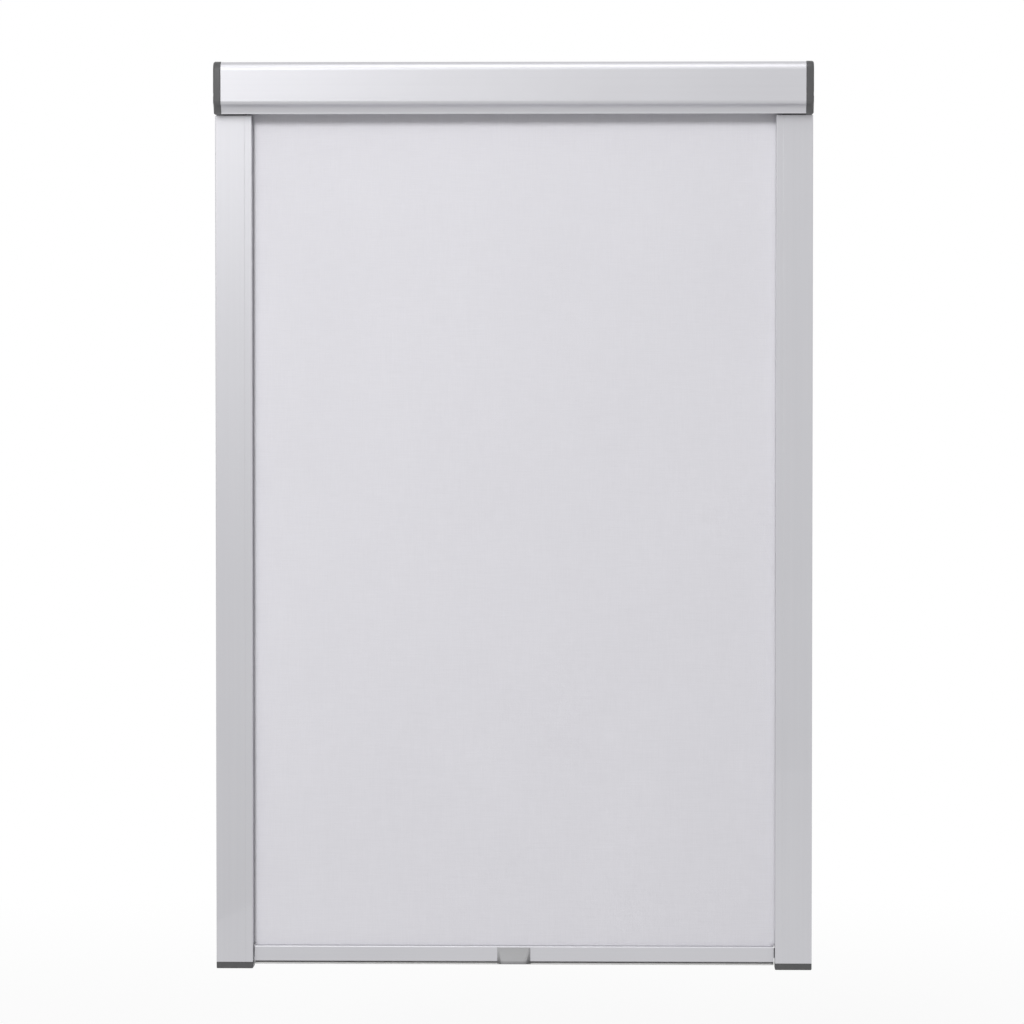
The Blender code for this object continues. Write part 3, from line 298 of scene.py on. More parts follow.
def anodised(name, along):
    """Satin aluminium with its die lines along axis 0 (X) or 2 (Z).

    The tint is the middle plus shares of lines, bands and bloom. Roughness is a base plus bloom and
    speckle, and the height is lines and speckle.
    """
    finish = Finish(name)
    fine = [LINE_GRAIN] * 3
    wide = [BAND_GRAIN] * 3
    fine[along] = wide[along] = LINE_STRETCH
    lines = finish.noise(fine)
    bands = finish.noise(wide)
    bloom = finish.noise([BLOOM_GRAIN] * 3, detail=3.0)
    speckle = finish.noise([SPECKLE_GRAIN] * 3)
    tint = MIDDLE_TINT + lines * LINE_TINT + bands * BAND_TINT + bloom * BLOOM_TINT
    height = lines * LINE_HEIGHT + speckle * SPECKLE_HEIGHT
    return finish.surface(
        Base_Color=finish.mix(tint, METAL_DARK, METAL_LIGHT),
        Metallic=1.0,
        Roughness=METAL_ROUGH + bloom * BLOOM_ROUGH + speckle * SPECKLE_ROUGH,
        Normal=finish.bump(height, METAL_DEPTH),
    )


across_metal = anodised("anodised_across", along=0)
upright_metal = anodised("anodised_upright", along=2)
print("aluminium in two directions:", across_metal.name, "and", upright_metal.name)

# %% [markdown]
# The handle is gripped from below. Its flanks and lip are darkened towards the foot with painted shade,
# outside a face that keeps the plastic's own grey. The face narrows downwards between two slanted edges.
# The painted shade could be put in an image, but a share worked out from the place on the handle needs
# none.

# %% Painted shade on the handle
GRIP_FACE_TOP = 0.032
GRIP_FACE_FOOT = 0.0245
GRIP_EDGE_FADE = 0.0006
GRIP_LIP_AT = 0.77
GRIP_LIP_FADE = 0.1
# The shares of painted shade on the flanks and on the lip, and the near black that it darkens towards.
FLANK_PAINTED_SHADE = 0.85
LIP_PAINTED_SHADE = 0.4
PAINTED_SHADE_TONE = (0.04, 0.04, 0.04, 1.0)

grip_low, grip_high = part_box("pull_handle")
grip_tall = grip_high.z - grip_low.z


def grip_painted_shade(finish):
    """How much painted shade the handle takes: 0.85 down^2 beyond the slanted edge of its face, and 0.4 on
    its lip.

    Down runs from 0 at the handle's top to 1 at its foot.
    """
    across_grip, _, up = finish.axes()
    down = (grip_high.z - up) * (1 / grip_tall)
    beyond = across_grip.size() - GRIP_FACE_TOP / 2 + down * ((GRIP_FACE_TOP - GRIP_FACE_FOOT) / 2)
    flank = (beyond * (1 / GRIP_EDGE_FADE)).clipped()
    lip = ((down - GRIP_LIP_AT) * (1 / GRIP_LIP_FADE)).clipped()
    return (flank * down * down * FLANK_PAINTED_SHADE).at_least(lip * LIP_PAINTED_SHADE)


print(f"the handle is {mm(grip_tall)} high, and its lip starts {mm(GRIP_LIP_AT * grip_tall)} down")

# %% [markdown]
# The end caps, feet, handle and sliders are injection moulded, each in its own grey. A mould is spark
# eroded, so its plastic carries a fine even grain, and the skin varies a little where the melt flowed
# slowly. One function makes them all from a colour, a roughness and the depth of the grain, and the
# rubber strip and the white acetal inside come from it too.

# %% Moulded plastics and rubber
GRAIN = 1500.0
FLOW = 35.0
FLOW_TINT = 0.8
GRAIN_TINT = 0.4
FLOW_ROUGH = 0.12
GRAIN_ROUGH = 0.1


def moulded(name, colour, rough, grain_depth, shade=0.12, painted_shade=None):
    """Grained plastic: flow and grain shade the colour by the shade either way, and grain is its height."""
    finish = Finish(name)
    grain = finish.noise([GRAIN] * 3, detail=3.0)
    flow = finish.noise([FLOW] * 3, detail=3.0)
    darker = [part * (1 - shade) for part in colour] + [1.0]
    lighter = [part * (1 + shade) for part in colour] + [1.0]
    tone = finish.mix(MIDDLE_TINT + flow * FLOW_TINT + grain * GRAIN_TINT, darker, lighter)
    # A painted shade, where given, darkens the tone towards near black.
    if painted_shade is not None:
        tone = finish.mix(painted_shade(finish), tone, PAINTED_SHADE_TONE)
    return finish.surface(
        Base_Color=tone,
        Roughness=rough + flow * FLOW_ROUGH + grain * GRAIN_ROUGH,
        Normal=finish.bump(grain, grain_depth),
    )


dark_plastic = moulded("dark_moulding", (0.082, 0.082, 0.084), rough=0.42, grain_depth=0.00006)
# The handle's moulding carries painted shade on its flanks and lip.
handle_plastic = moulded(
    "handle_moulding", (0.41, 0.41, 0.418), rough=0.45, grain_depth=0.00004, shade=0.05, painted_shade=grip_painted_shade
)
slider_plastic = moulded("slider_moulding", (0.30, 0.30, 0.31), rough=0.38, grain_depth=0.00003)
acetal = moulded("white_acetal", (0.74, 0.74, 0.72), rough=0.33, grain_depth=0.00002, shade=0.03)
rubber = moulded("seal_rubber", (0.58, 0.58, 0.572), rough=0.7, grain_depth=0.00005)
mouldings = (dark_plastic, handle_plastic, slider_plastic, acetal, rubber)
print("moulded finishes:", ", ".join(material.name for material in mouldings))

# %% [markdown]
# Screws, springs, shaft and pin are zinc plated. Bright zinc is nearly a mirror with a cloudy bluish
# cast, so the tint drifts slowly between a cold and a warm grey and the roughness follows it.

# %% Zinc plate
CLOUD = 220.0
SCRATCH = 4200.0
ZINC_COLD = (0.56, 0.58, 0.62, 1.0)
ZINC_WARM = (0.64, 0.62, 0.58, 1.0)
ZINC_ROUGH = 0.27
CLOUD_ROUGH = 0.2
SCRATCH_ROUGH = 0.05
SCRATCH_DEPTH = 0.000008


def zinc_plate(name):
    """Plated steel, whose tint and roughness drift with one cloudy noise, under fine scratches."""
    finish = Finish(name)
    cloud = finish.noise([CLOUD] * 3, detail=4.0)
    scratch = finish.noise([SCRATCH] * 3)
    return finish.surface(
        Base_Color=finish.mix(MIDDLE_TINT + cloud, ZINC_COLD, ZINC_WARM),
        Metallic=1.0,
        Roughness=ZINC_ROUGH + cloud * CLOUD_ROUGH + scratch * SCRATCH_ROUGH,
        Normal=finish.bump(scratch, SCRATCH_DEPTH),
    )


zinc = zinc_plate("zinc_plate")
print("plated finish:", zinc.name)

# %% [markdown]
# The fabric is a close plain weave of fine yarn with a pale lavender cast. Warp runs up the blind and
# weft across it, each yarn about half a millimetre wide and never quite even. The weave is a product of
# two sines, one for each direction, over streaks of noise stretched along the yarns, and the height goes
# to a bump while the colour moves by a few per cent.

# %% Woven fabric
YARN = 0.00052
STREAK_FINE = 1500.0
STREAK_LONG = 45.0
MOTTLE = 6.0
YARN_TINT = 0.7
WEAVE_TINT = 0.12
MOTTLE_TINT = 0.5
WEAVE_HEIGHT = 0.35
YARN_HEIGHT = 0.6
WEAVE_DEPTH = 0.00005
CLOTH_ROUGH = 0.82
YARN_ROUGH = 0.1
CLOTH_SHEEN = 0.12
CLOTH_SHEEN_ROUGH = 0.5
CLOTH_DARK = (0.70, 0.691, 0.731, 1.0)
CLOTH_LIGHT = (0.768, 0.760, 0.802, 1.0)


def woven(name):
    """Plain weave: height = sin(2 pi x / yarn) sin(2 pi z / yarn), plus streaks along warp and weft."""
    finish = Finish(name)
    across_cloth, _, up = finish.axes([2 * pi / YARN] * 3)
    weave = across_cloth.sine() * up.sine()
    warp = finish.noise((STREAK_FINE, STREAK_FINE, STREAK_LONG))
    weft = finish.noise((STREAK_LONG, STREAK_FINE, STREAK_FINE))
    mottle = finish.noise([MOTTLE] * 3, detail=3.0)
    tint = MIDDLE_TINT + warp * YARN_TINT + weft * YARN_TINT + weave * WEAVE_TINT + mottle * MOTTLE_TINT
    height = weave * WEAVE_HEIGHT + warp * YARN_HEIGHT + weft * YARN_HEIGHT
    return finish.surface(
        Base_Color=finish.mix(tint, CLOTH_DARK, CLOTH_LIGHT),
        Roughness=CLOTH_ROUGH + warp * YARN_ROUGH,
        Sheen_Weight=CLOTH_SHEEN,
        Sheen_Roughness=CLOTH_SHEEN_ROUGH,
        Normal=finish.bump(height, WEAVE_DEPTH),
    )


cloth = woven("pale_weave")
print(f"{cloth.name}: yarns {mm(YARN, 2)} wide")

# %% [markdown]
# Two kinds of pile are left: the brush strips that close the slots of the rails, and the felt on the brake
# pads. Both are grey fibre with no gloss. One noise paints shade for the gaps between the fibres, and a
# coarser one paints shade for the gaps between tufts.

# %% Pile and felt
FIBRE = 3500.0
TUFT = FIBRE / 8
FIBRE_TINT = 0.9
TUFT_TINT = 0.4
PILE_ROUGH = 0.92
FIBRE_ROUGH = 0.1
PILE_SHEEN = 0.3


def fibrous(name, dark, light, depth):
    """Matt fibre, whose colour and height share one fine noise."""
    finish = Finish(name)
    fibre = finish.noise([FIBRE] * 3, detail=3.0)
    tufts = finish.noise([TUFT] * 3)
    return finish.surface(
        Base_Color=finish.mix(MIDDLE_TINT + fibre * FIBRE_TINT + tufts * TUFT_TINT, dark, light),
        Roughness=PILE_ROUGH + fibre * FIBRE_ROUGH,
        Sheen_Weight=PILE_SHEEN,
        Normal=finish.bump(fibre, depth),
    )


pile = fibrous("brush_pile", dark=(0.13, 0.13, 0.135, 1.0), light=(0.34, 0.34, 0.35, 1.0), depth=0.00008)
felt = fibrous("brake_felt", dark=(0.16, 0.16, 0.165, 1.0), light=(0.30, 0.30, 0.31, 1.0), depth=0.0001)
print("fibrous finishes:", pile.name, "and", felt.name)

# One table holds both, by how a node's name starts. Some nodes already have the right form and keep it;
# the later cells replace those that need a finer surface, and look up the same table.

# %% Finishes on the packed nodes
LOOKS = [
    (across_metal, "aluminium", ["cassette_cover", "roller_tube", "bottom_bar"]),
    (upright_metal, "aluminium", ["side_rail"]),
    (dark_plastic, "dark_plastic", ["end_cap", "rail_foot"]),
    (handle_plastic, "grey_plastic", ["pull_handle"]),
    (slider_plastic, "grey_plastic", ["slider"]),
    (acetal, "white_plastic", ["spring_anchor", "spring_plug", "idler_plug"]),
    (acetal, "white_plastic", ["roller_spline", "bar_spline"]),
    (rubber, "rubber", ["bar_seal"]),
    (zinc, "steel", ["cap_screw", "spring_shaft", "idler_pin", "torsion_spring", "brake_spring"]),
    (felt, "pile", ["brake_pad"]),
    (pile, "pile", ["pile"]),
    (cloth, "fabric", ["fabric"]),
]


def look_of(node):
    """The finish and the slot of a node, by the start of its name."""
    return next((finish, slot) for finish, slot, starts in LOOKS if node.startswith(tuple(starts)))


for name, node in frame["nodes"].items():
    node.data.materials.clear()
    node.data.materials.append(look_of(name)[0])
print("finished", len(frame["nodes"]), "nodes")

# %% [markdown]
# Most of the visible pieces are extrusions: one section, carried straight. A section is an array of points
# made of arcs and straights. A die never leaves a knife edge, so every sharp corner is softened a little:
# it is cut back along both of its sides, and a short curve joins the cuts. Extruding a Blender curve would
# do as well, but numpy gives full control over each point.

# %% Outlines and soft corners
ARC_STEPS = 14
SOFT_STEPS = 3
SHARP_TURN = radians(30.0)
MOST_OF_SIDE = 0.45
SAME_POINT = 0.000002


def arc(centre, radius, start, end, steps=ARC_STEPS):
    """Points at centre + radius (cos t, sin t), with t from start to end in degrees."""
    turn = np.radians(np.linspace(start, end, steps + 1))
    return np.column_stack([centre[0] + radius * np.cos(turn), centre[1] + radius * np.sin(turn)])


def joined(*stretches):
    """One outline from stretches of points."""
    return np.vstack([np.atleast_2d(np.array(stretch, float)) for stretch in stretches])


def soften(outline, reach):
    """Round every corner P that turns by more than 30 degrees.

    The round is (1-t)^2 A + 2t(1-t) P + t^2 B, where A and B lie on the two sides at the reach from P.
    """
    back = np.roll(outline, 1, axis=0) - outline
    ahead = np.roll(outline, -1, axis=0) - outline
    back_length = np.linalg.norm(back, axis=1)
    ahead_length = np.linalg.norm(ahead, axis=1)
    corner = -(back * ahead).sum(axis=1) < cos(SHARP_TURN) * back_length * ahead_length

    def cut(side, length):
        """Each corner moved along one of its sides by the reach, or by 0.45 of a shorter side."""
        share = np.minimum(reach / np.maximum(length, SAME_POINT), MOST_OF_SIDE)
        return (outline + side * np.where(corner, share, 0.0)[:, None])[:, None]

    t = np.linspace(0.0, 1.0, SOFT_STEPS + 1)[None, :, None]
    start, end = cut(back, back_length), cut(ahead, ahead_length)
    curve = (1 - t) ** 2 * start + 2 * t * (1 - t) * outline[:, None] + t ** 2 * end
    kept = np.repeat(corner[:, None], SOFT_STEPS + 1, axis=1)
    kept[:, 0] = True
    return curve[kept]


quarter = joined([(0.0, 0.0)], arc((0.0, 0.0), 1.0, 0, 90))
print(f"a quarter of a disc takes {len(quarter)} points, and {len(soften(quarter, 0.1))} once softened")

# %% [markdown]
# A section is set down twice, at the low and at the high end, and joined by four-sided faces. The ends
# are filled by triangles that leave the hollows open. A long flat face beside a small round would be
# shaded as if it were bent, because a corner's normal is an average, so each corner takes its normal
# from its largest face.

# %% Carrying a section
MOST_WEIGHT = 100


def across(section, along):
    """A section of depth and height at a place along X: (along, -depth, height)."""
    depth, height = section.T
    return np.column_stack([np.full(len(section), along), -depth, height])


def carried(loops, low, high, place):
    """Points and faces of a section carried from low to high, with its hollows left open at both ends."""
    points = np.vstack(loops)
    count = len(points)
    starts = np.cumsum([0] + [len(loop) for loop in loops[:-1]])
    following = np.concatenate([np.roll(np.arange(len(loop)), -1) + at for loop, at in zip(loops, starts)])
    here = np.arange(count)
    sides = np.column_stack([here, following, following + count, here + count]).tolist()
    lid = np.array(tessellate_polygon([loop.tolist() for loop in loops]))
    corners = np.vstack([place(points, low), place(points, high)])
    return corners, sides + lid[:, ::-1].tolist() + (lid + count).tolist()


def keep_flat(piece):
    """Let the largest face at each corner set its normal, so that flat faces are shaded flat."""
    weigh = piece.modifiers.new("flat_faces", "WEIGHTED_NORMAL")
    weigh.mode = "FACE_AREA"
    weigh.weight = MOST_WEIGHT
    weigh.keep_sharp = True


print(f"a quarter of a disc carried over a metre has {len(carried([quarter], 0.0, 1.0, across)[1])} faces")

# %% [markdown]
# Every new piece is finished the same way: its points and faces go into a mesh at the origin, its faces
# are turned outwards, its real edges stay sharp while the rounds shade smooth, and it is seated on the
# body that carries it. It stands for one packed node, which stays only for the motion.

# %% Seating a piece
SHARP_EDGE = radians(38.0)


def seat(piece, node, body):
    """Give a piece its finish and its body, and hide the packed node that it stands for."""
    finish, slot = look_of(node)
    piece.data.materials.clear()
    piece.data.materials.append(finish)
    piece.data.shade_smooth()
    piece.data.set_sharp_from_angle(angle=SHARP_EDGE)
    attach(piece, body)
    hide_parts(node)


def add_surface(name, corners, faces, node, body):
    """Make an object from points and faces, with its faces turned outwards."""
    mesh = bpy.data.meshes.new(name)
    mesh.from_pydata(corners.tolist(), [], faces)
    shape = bmesh.new()
    shape.from_mesh(mesh)
    bmesh.ops.remove_doubles(shape, verts=shape.verts[:], dist=SAME_POINT)
    bmesh.ops.recalc_face_normals(shape, faces=shape.faces[:])
    shape.to_mesh(mesh)
    shape.free()
    piece = link_object(name, mesh)
    seat(piece, node, body)
    return piece


def add_extrusion(name, loops, low, high, place, node, body):
    """Make an object from a section carried from low to high, with its flat faces shaded flat."""
    corners, faces = carried(loops, low, high, place)
    keep_flat(add_surface(name, corners, faces, node, body))


print(f"edges that turn by more than {degrees(SHARP_EDGE):.0f} degrees stay sharp")

# %% [markdown]
# The head box cover is one extrusion: a flat back, a top that rolls over into the flat front, a crease and
# a cove that runs back to the lip. In the packed model its rounds have few steps, which a low light would
# show as facets, so the section is drawn again with fine ones. The packed crease is a small round that
# turns level. The real one shows no dark line, so it is drawn wider here, and it stops turning where the
# cove leans out by 58 degrees.

# %% The cove of the head box
HEAD_WALL = 0.0015
HEAD_TOP_RADIUS = 0.009
HEAD_LIP_DEPTH = 0.037
CREASE_HEIGHT = 0.00845
COVE_ROUND = 0.0045
COVE_TURN = 58.0

cover_low, cover_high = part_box("cassette_cover")
HEAD_FLOOR = cover_low.z
HEAD_ROOF = cover_high.z
HEAD_DEPTH = -cover_low.y


def bowed(start, bend, end, steps=2 * ARC_STEPS):
    """Points on the curve (1-t)^2 start + 2t(1-t) bend + t^2 end, and the unit headings along it."""
    start, bend, end = (np.array(point, float) for point in (start, bend, end))
    t = np.linspace(0.0, 1.0, steps + 1)[:, None]
    points = (1 - t) ** 2 * start + 2 * t * (1 - t) * bend + t ** 2 * end
    heading = (1 - t) * (bend - start) + t * (end - bend)
    return points, heading / np.linalg.norm(heading, axis=1, keepdims=True)


def cove(radius, turn, undercut=0.0):
    """The crease and the cove as points, with their inward headings.

    The crease is a round that turns by so many degrees, and a bow runs on from its end to the lip. An
    undercut sets the bow back from the crease.
    """
    centre = np.array([HEAD_DEPTH - radius, HEAD_FLOOR + CREASE_HEIGHT + radius])
    outward = arc((0.0, 0.0), 1.0, 0, -turn)
    start = centre + radius * outward[-1] - (undercut, 0.0)
    drop = (start[0] - HEAD_LIP_DEPTH) / tan(radians(turn))
    points, heading = bowed(start, (HEAD_LIP_DEPTH, start[1] - drop), (HEAD_LIP_DEPTH, HEAD_FLOOR))
    inward = np.column_stack([heading[:, 1], -heading[:, 0]])
    return joined(centre + radius * outward, points), joined(-outward, inward)


def cover_path(inset):
    """The wall from the top round to the lip, moved in by the inset: a round, the crease and the cove."""
    top = (HEAD_DEPTH - HEAD_TOP_RADIUS, HEAD_ROOF - HEAD_TOP_RADIUS)
    points, inward = cove(COVE_ROUND, COVE_TURN)
    return joined(arc(top, HEAD_TOP_RADIUS - inset, 90, 0, 2 * ARC_STEPS), points + inset * inward)


print(f"the cove runs back {mm(HEAD_DEPTH - HEAD_LIP_DEPTH)} from the front to the lip")

# %% [markdown]
# Inside, the cover carries two screw ports along its whole length, open rings into which the screws of
# the end caps cut their thread. Each ring grows out of the wall and leaves a mouth on its far side, so
# the whole wall with its ports is still one outline without a hollow.

# %% Head box cover
PORT_BORE = 0.0015
PORT_WALL = 0.0014
PORT_MOUTH = 35.0
PORT_SETBACK = PORT_BORE + PORT_WALL / 2
FRONT_PORT_HEIGHT = 0.0195
TOP_PORT_DEPTH = 0.009
DIE_ROUND = 0.00025


def screw_port(centre, towards_wall):
    """An open ring round a screw: outside from the wall to the mouth, the bore, and back to the wall."""
    radius = PORT_BORE + PORT_WALL
    root = degrees(asin(sqrt(radius ** 2 - PORT_SETBACK ** 2) / radius))
    mouth = 180 - PORT_MOUTH
    first = arc(centre, radius, towards_wall - root, towards_wall - mouth)
    bore = arc(centre, PORT_BORE, towards_wall - mouth, towards_wall + mouth, 3 * ARC_STEPS)
    last = arc(centre, radius, towards_wall + mouth, towards_wall + root)
    return joined(first, bore, last)


def cover_section():
    """The whole wall of the cover as one outline: outside, lip, inside with its ports, and back."""
    front_port = (HEAD_DEPTH - HEAD_WALL - PORT_SETBACK, HEAD_FLOOR + FRONT_PORT_HEIGHT)
    top_port = (TOP_PORT_DEPTH, HEAD_ROOF - HEAD_WALL - PORT_SETBACK)
    outer = cover_path(0.0)
    inner = cover_path(HEAD_WALL)[::-1]
    above = inner[:, 1] > front_port[1]
    back = [(HEAD_WALL, HEAD_ROOF - HEAD_WALL), (HEAD_WALL, HEAD_FLOOR)]
    outside = joined([(0.0, HEAD_FLOOR), (0.0, HEAD_ROOF)], outer)
    inside = joined(inner[~above], screw_port(front_port, 0), inner[above], screw_port(top_port, 90), back)
    return soften(joined(outside, inside), DIE_ROUND)


wall = cover_section()
add_extrusion("head_box_cover", [wall], cover_low.x, cover_high.x, across, "cassette_cover", "casing")
print(f"cover: {len(wall)} points round its section, {mm(cover_high.x - cover_low.x)} long")

# %% [markdown]
# A side rail is a deeper section. Its inner face opens in a slot, behind which the slider runs in a square
# channel, and two hollow chambers keep it light. A T groove in each lip of the slot holds a pile seal. A
# fine V line runs down the front, which is how such a die marks the edge of the guide. Both rails share
# one section, mirrored by the way it is set down.

# %% Side rails
LIP_WIDTH = 0.007
SLOT_OPENING = 0.005
CHANNEL_SIZE = 0.013
RAIL_WALL = 0.0013
RAIL_ROUND = 0.0009
RAIL_LINE_AT = 0.0075
RAIL_LINE_WIDTH = 0.0004
RAIL_LINE_SINK = 0.00015
PILE_AT = 0.0035
PILE_NECK = 0.0022
PILE_HEAD = 0.0042
PILE_LIP = 0.0006
PILE_POCKET = 0.0012
SIDES = {"left": -1, "right": 1}

left_low, left_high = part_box("side_rail_left")
RAIL_INNER = -left_high.x
RAIL_WIDTH = left_high.x - left_low.x
RAIL_DEPTH = -left_low.y
fabric_low, fabric_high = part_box("fabric")
FABRIC_DEPTH = -(fabric_low.y + fabric_high.y) / 2


def rectangle(low, high):
    """The four corners of a rectangle."""
    return np.array([(low[0], low[1]), (high[0], low[1]), (high[0], high[1]), (low[0], high[1])])


def upright(side):
    """How a rail's section of width and depth stands, with its width outwards from the inner face."""

    def place(section, along):
        """The section at a height along Z: (side (inner + width), -depth, along)."""
        width, depth = section.T
        return np.column_stack([side * (RAIL_INNER + width), -depth, np.full(len(section), along)])

    return place


def pile_groove(edge, away):
    """The T groove for a pile seal in one lip of the slot, cut away from the slot's edge."""
    under = edge + away * PILE_LIP
    floor = under + away * PILE_POCKET
    neck_near, neck_far = PILE_AT - PILE_NECK / 2, PILE_AT + PILE_NECK / 2
    head_near, head_far = PILE_AT - PILE_HEAD / 2, PILE_AT + PILE_HEAD / 2
    near = [(neck_near, edge), (neck_near, under), (head_near, under), (head_near, floor)]
    far = [(head_far, floor), (head_far, under), (neck_far, under), (neck_far, edge)]
    return near + far


def rail_section():
    """The rail across and into the depth: its outline with the slot and channel, and two chambers."""
    back_edge = FABRIC_DEPTH - SLOT_OPENING / 2
    front_edge = FABRIC_DEPTH + SLOT_OPENING / 2
    channel_back = FABRIC_DEPTH - CHANNEL_SIZE / 2
    channel_front = FABRIC_DEPTH + CHANNEL_SIZE / 2
    far = LIP_WIDTH + CHANNEL_SIZE
    back_lip = joined([(RAIL_WIDTH, 0.0), (0.0, 0.0), (0.0, back_edge)], pile_groove(back_edge, -1))
    channel = [(LIP_WIDTH, back_edge), (LIP_WIDTH, channel_back), (far, channel_back)]
    channel += [(far, channel_front), (LIP_WIDTH, channel_front), (LIP_WIDTH, front_edge)]
    front_lip = joined(pile_groove(front_edge, 1)[::-1], [(0.0, front_edge)])
    line = [(RAIL_LINE_AT - RAIL_LINE_WIDTH / 2, RAIL_DEPTH), (RAIL_LINE_AT, RAIL_DEPTH - RAIL_LINE_SINK)]
    line += [(RAIL_LINE_AT + RAIL_LINE_WIDTH / 2, RAIL_DEPTH)]
    inner_round = arc((RAIL_ROUND, RAIL_DEPTH - RAIL_ROUND), RAIL_ROUND, 180, 90)
    outer_round = arc((RAIL_WIDTH - RAIL_ROUND, RAIL_DEPTH - RAIL_ROUND), RAIL_ROUND, 90, 0)
    outline = soften(joined(back_lip, channel, front_lip, inner_round, line, outer_round), DIE_ROUND / 2)
    deep = RAIL_DEPTH - RAIL_WALL
    side_chamber = rectangle((far + RAIL_WALL, RAIL_WALL), (RAIL_WIDTH - RAIL_WALL, deep))
    front_chamber = rectangle((RAIL_WALL, channel_front + RAIL_WALL), (far, deep))
    return [outline, soften(side_chamber, 2 * DIE_ROUND), soften(front_chamber, 2 * DIE_ROUND)]


for side_name, side in SIDES.items():
    name, node = "guide_rail_" + side_name, "side_rail_" + side_name
    add_extrusion(name, rail_section(), left_low.z, left_high.z, upright(side), node, "casing")
print(f"rails: {mm(RAIL_WIDTH)} x {mm(RAIL_DEPTH)}, {mm(left_high.z - left_low.z)} long")

# %% [markdown]
# The bottom bar is a hollow extrusion with a round keyway along its top, which grips the fabric, and a
# T groove along its foot for a rubber strip. The bar's upper edge catches a light line, which lies a
# little above the packed bar's edge in the photograph, so the outline is drawn that much higher over the
# same keyway and chamber.

# %% Bottom bar
BAR_WALL = 0.0013
BAR_RISE = 0.0008
BAR_TOP_ROUND = 0.0018
BAR_FOOT_ROUND = 0.0008
KEYWAY_RADIUS = 0.002
KEYWAY_NECK = 0.001
KEYWAY_LIP = 0.0011
SEAL_NECK = 0.002
SEAL_HEAD = 0.004
SEAL_LIP = 0.001
SEAL_POCKET = 0.0014

bar_low, bar_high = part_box("bottom_bar")
BAR_BACK = -bar_high.y
BAR_FRONT = -bar_low.y
BAR_FOOT = bar_low.z
BAR_ROOF = bar_high.z + BAR_RISE


def seal_groove():
    """The T groove in the bar's foot, from its back edge over its floor to its front edge."""
    neck, head = SEAL_NECK / 2, SEAL_HEAD / 2
    under, floor = BAR_FOOT + SEAL_LIP, BAR_FOOT + (SEAL_LIP + SEAL_POCKET)
    half = [(neck, BAR_FOOT), (neck, under), (head, under), (head, floor)]
    back = [(FABRIC_DEPTH - aside, height) for aside, height in half]
    return back + [(FABRIC_DEPTH + aside, height) for aside, height in half[::-1]]


def bar_section():
    """The bar in depth and height: its outline with keyway and groove, and its chamber."""
    middle, small, large = FABRIC_DEPTH, BAR_FOOT_ROUND, BAR_TOP_ROUND
    key_height = bar_high.z - KEYWAY_LIP - sqrt(KEYWAY_RADIUS ** 2 - (KEYWAY_NECK / 2) ** 2)
    throat = degrees(asin(KEYWAY_NECK / 2 / KEYWAY_RADIUS))
    keyway = arc((middle, key_height), KEYWAY_RADIUS, 90 - throat, throat - 270, 3 * ARC_STEPS)
    outline = joined(
        arc((BAR_BACK + small, BAR_FOOT + small), small, 180, 270), seal_groove(),
        arc((BAR_FRONT - small, BAR_FOOT + small), small, 270, 360),
        arc((BAR_FRONT - large, BAR_ROOF - large), large, 0, 90),
        [(middle + KEYWAY_NECK / 2, BAR_ROOF)], keyway, [(middle - KEYWAY_NECK / 2, BAR_ROOF)],
        arc((BAR_BACK + small, BAR_ROOF - small), small, 90, 180),
    )
    near, far, top = BAR_BACK + BAR_WALL, BAR_FRONT - BAR_WALL, bar_high.z - BAR_WALL
    floor = BAR_FOOT + (SEAL_LIP + SEAL_POCKET) + BAR_WALL
    shoulder, under = KEYWAY_RADIUS + BAR_WALL, key_height - KEYWAY_RADIUS - BAR_WALL
    chamber = [(near, floor), (far, floor), (far, top)]
    chamber += [(middle + shoulder, top), (middle + shoulder, under)]
    chamber += [(middle - shoulder, under), (middle - shoulder, top), (near, top)]
    return [soften(outline, DIE_ROUND / 2), soften(joined(chamber), 2 * DIE_ROUND)]


add_extrusion("pull_bar_profile", bar_section(), bar_low.x, bar_high.x, across, "bottom_bar", "pull_bar")
print(f"bar: {mm(bar_high.x - bar_low.x)} long, {mm(BAR_ROOF - BAR_FOOT)} high")

# %% [markdown]
# The rubber strip closes the gap to the window frame. It slides into the bar's groove from one end, so it
# is a little smaller than the groove all round. It has a narrow waist between its head and its foot, so
# that a dark line shows below the bar, as it does in the photograph.

# %% Foot strip
SEAL_FOOT_THICKNESS = 0.0016
SEAL_FIT = 0.0003

seal_low, seal_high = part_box("bar_seal")


def seal_section():
    """The strip in depth and height: a foot, a waist, and a head that the groove holds."""
    foot, waist = (seal_high.y - seal_low.y) / 2, seal_low.z + SEAL_FOOT_THICKNESS
    neck, head = SEAL_NECK / 2 - SEAL_FIT, SEAL_HEAD / 2 - SEAL_FIT
    under, over = BAR_FOOT + SEAL_LIP + SEAL_FIT, seal_high.z
    half = [(foot, seal_low.z), (foot, waist), (neck, waist), (neck, under), (head, under), (head, over)]
    outline = np.array(half + [(-aside, height) for aside, height in half[::-1]])
    return soften(outline + (FABRIC_DEPTH, 0.0), 2 * DIE_ROUND)


add_extrusion("foot_strip", [seal_section()], seal_low.x, seal_high.x, across, "bar_seal", "pull_bar")
print(f"strip: {mm(seal_high.x - seal_low.x)} long, {mm(seal_high.z - seal_low.z)} high")

# %% [markdown]
# The roller is a thin tube with an undercut keyway, in which a plastic strip grips the cloth. It is one
# more carried section, worked out round the roller's own axis and then moved to its place in the box.

# %% Roller tube
TUBE_RADIUS = 0.0125
TUBE_WALL = 0.001
TUBE_KEY_NECK = 0.0014
TUBE_KEY_LIP = 0.0008
TUBE_KEY_WIDTH = 0.0038
TUBE_KEY_DEPTH = 0.0016
ROUND_STEPS = 96

tube_low, tube_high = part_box("roller_tube")
ROLLER_DEPTH = -(tube_low.y + tube_high.y) / 2
ROLLER_Z = (tube_low.z + tube_high.z) / 2


def notched_ring(radius, half_width, notch):
    """A circle whose top is cut by a notch: the arc outside it, then the points of the notch."""
    edge = degrees(asin(half_width / radius))
    return joined(arc((0.0, 0.0), radius, 90 + edge, 450 - edge, ROUND_STEPS), notch)


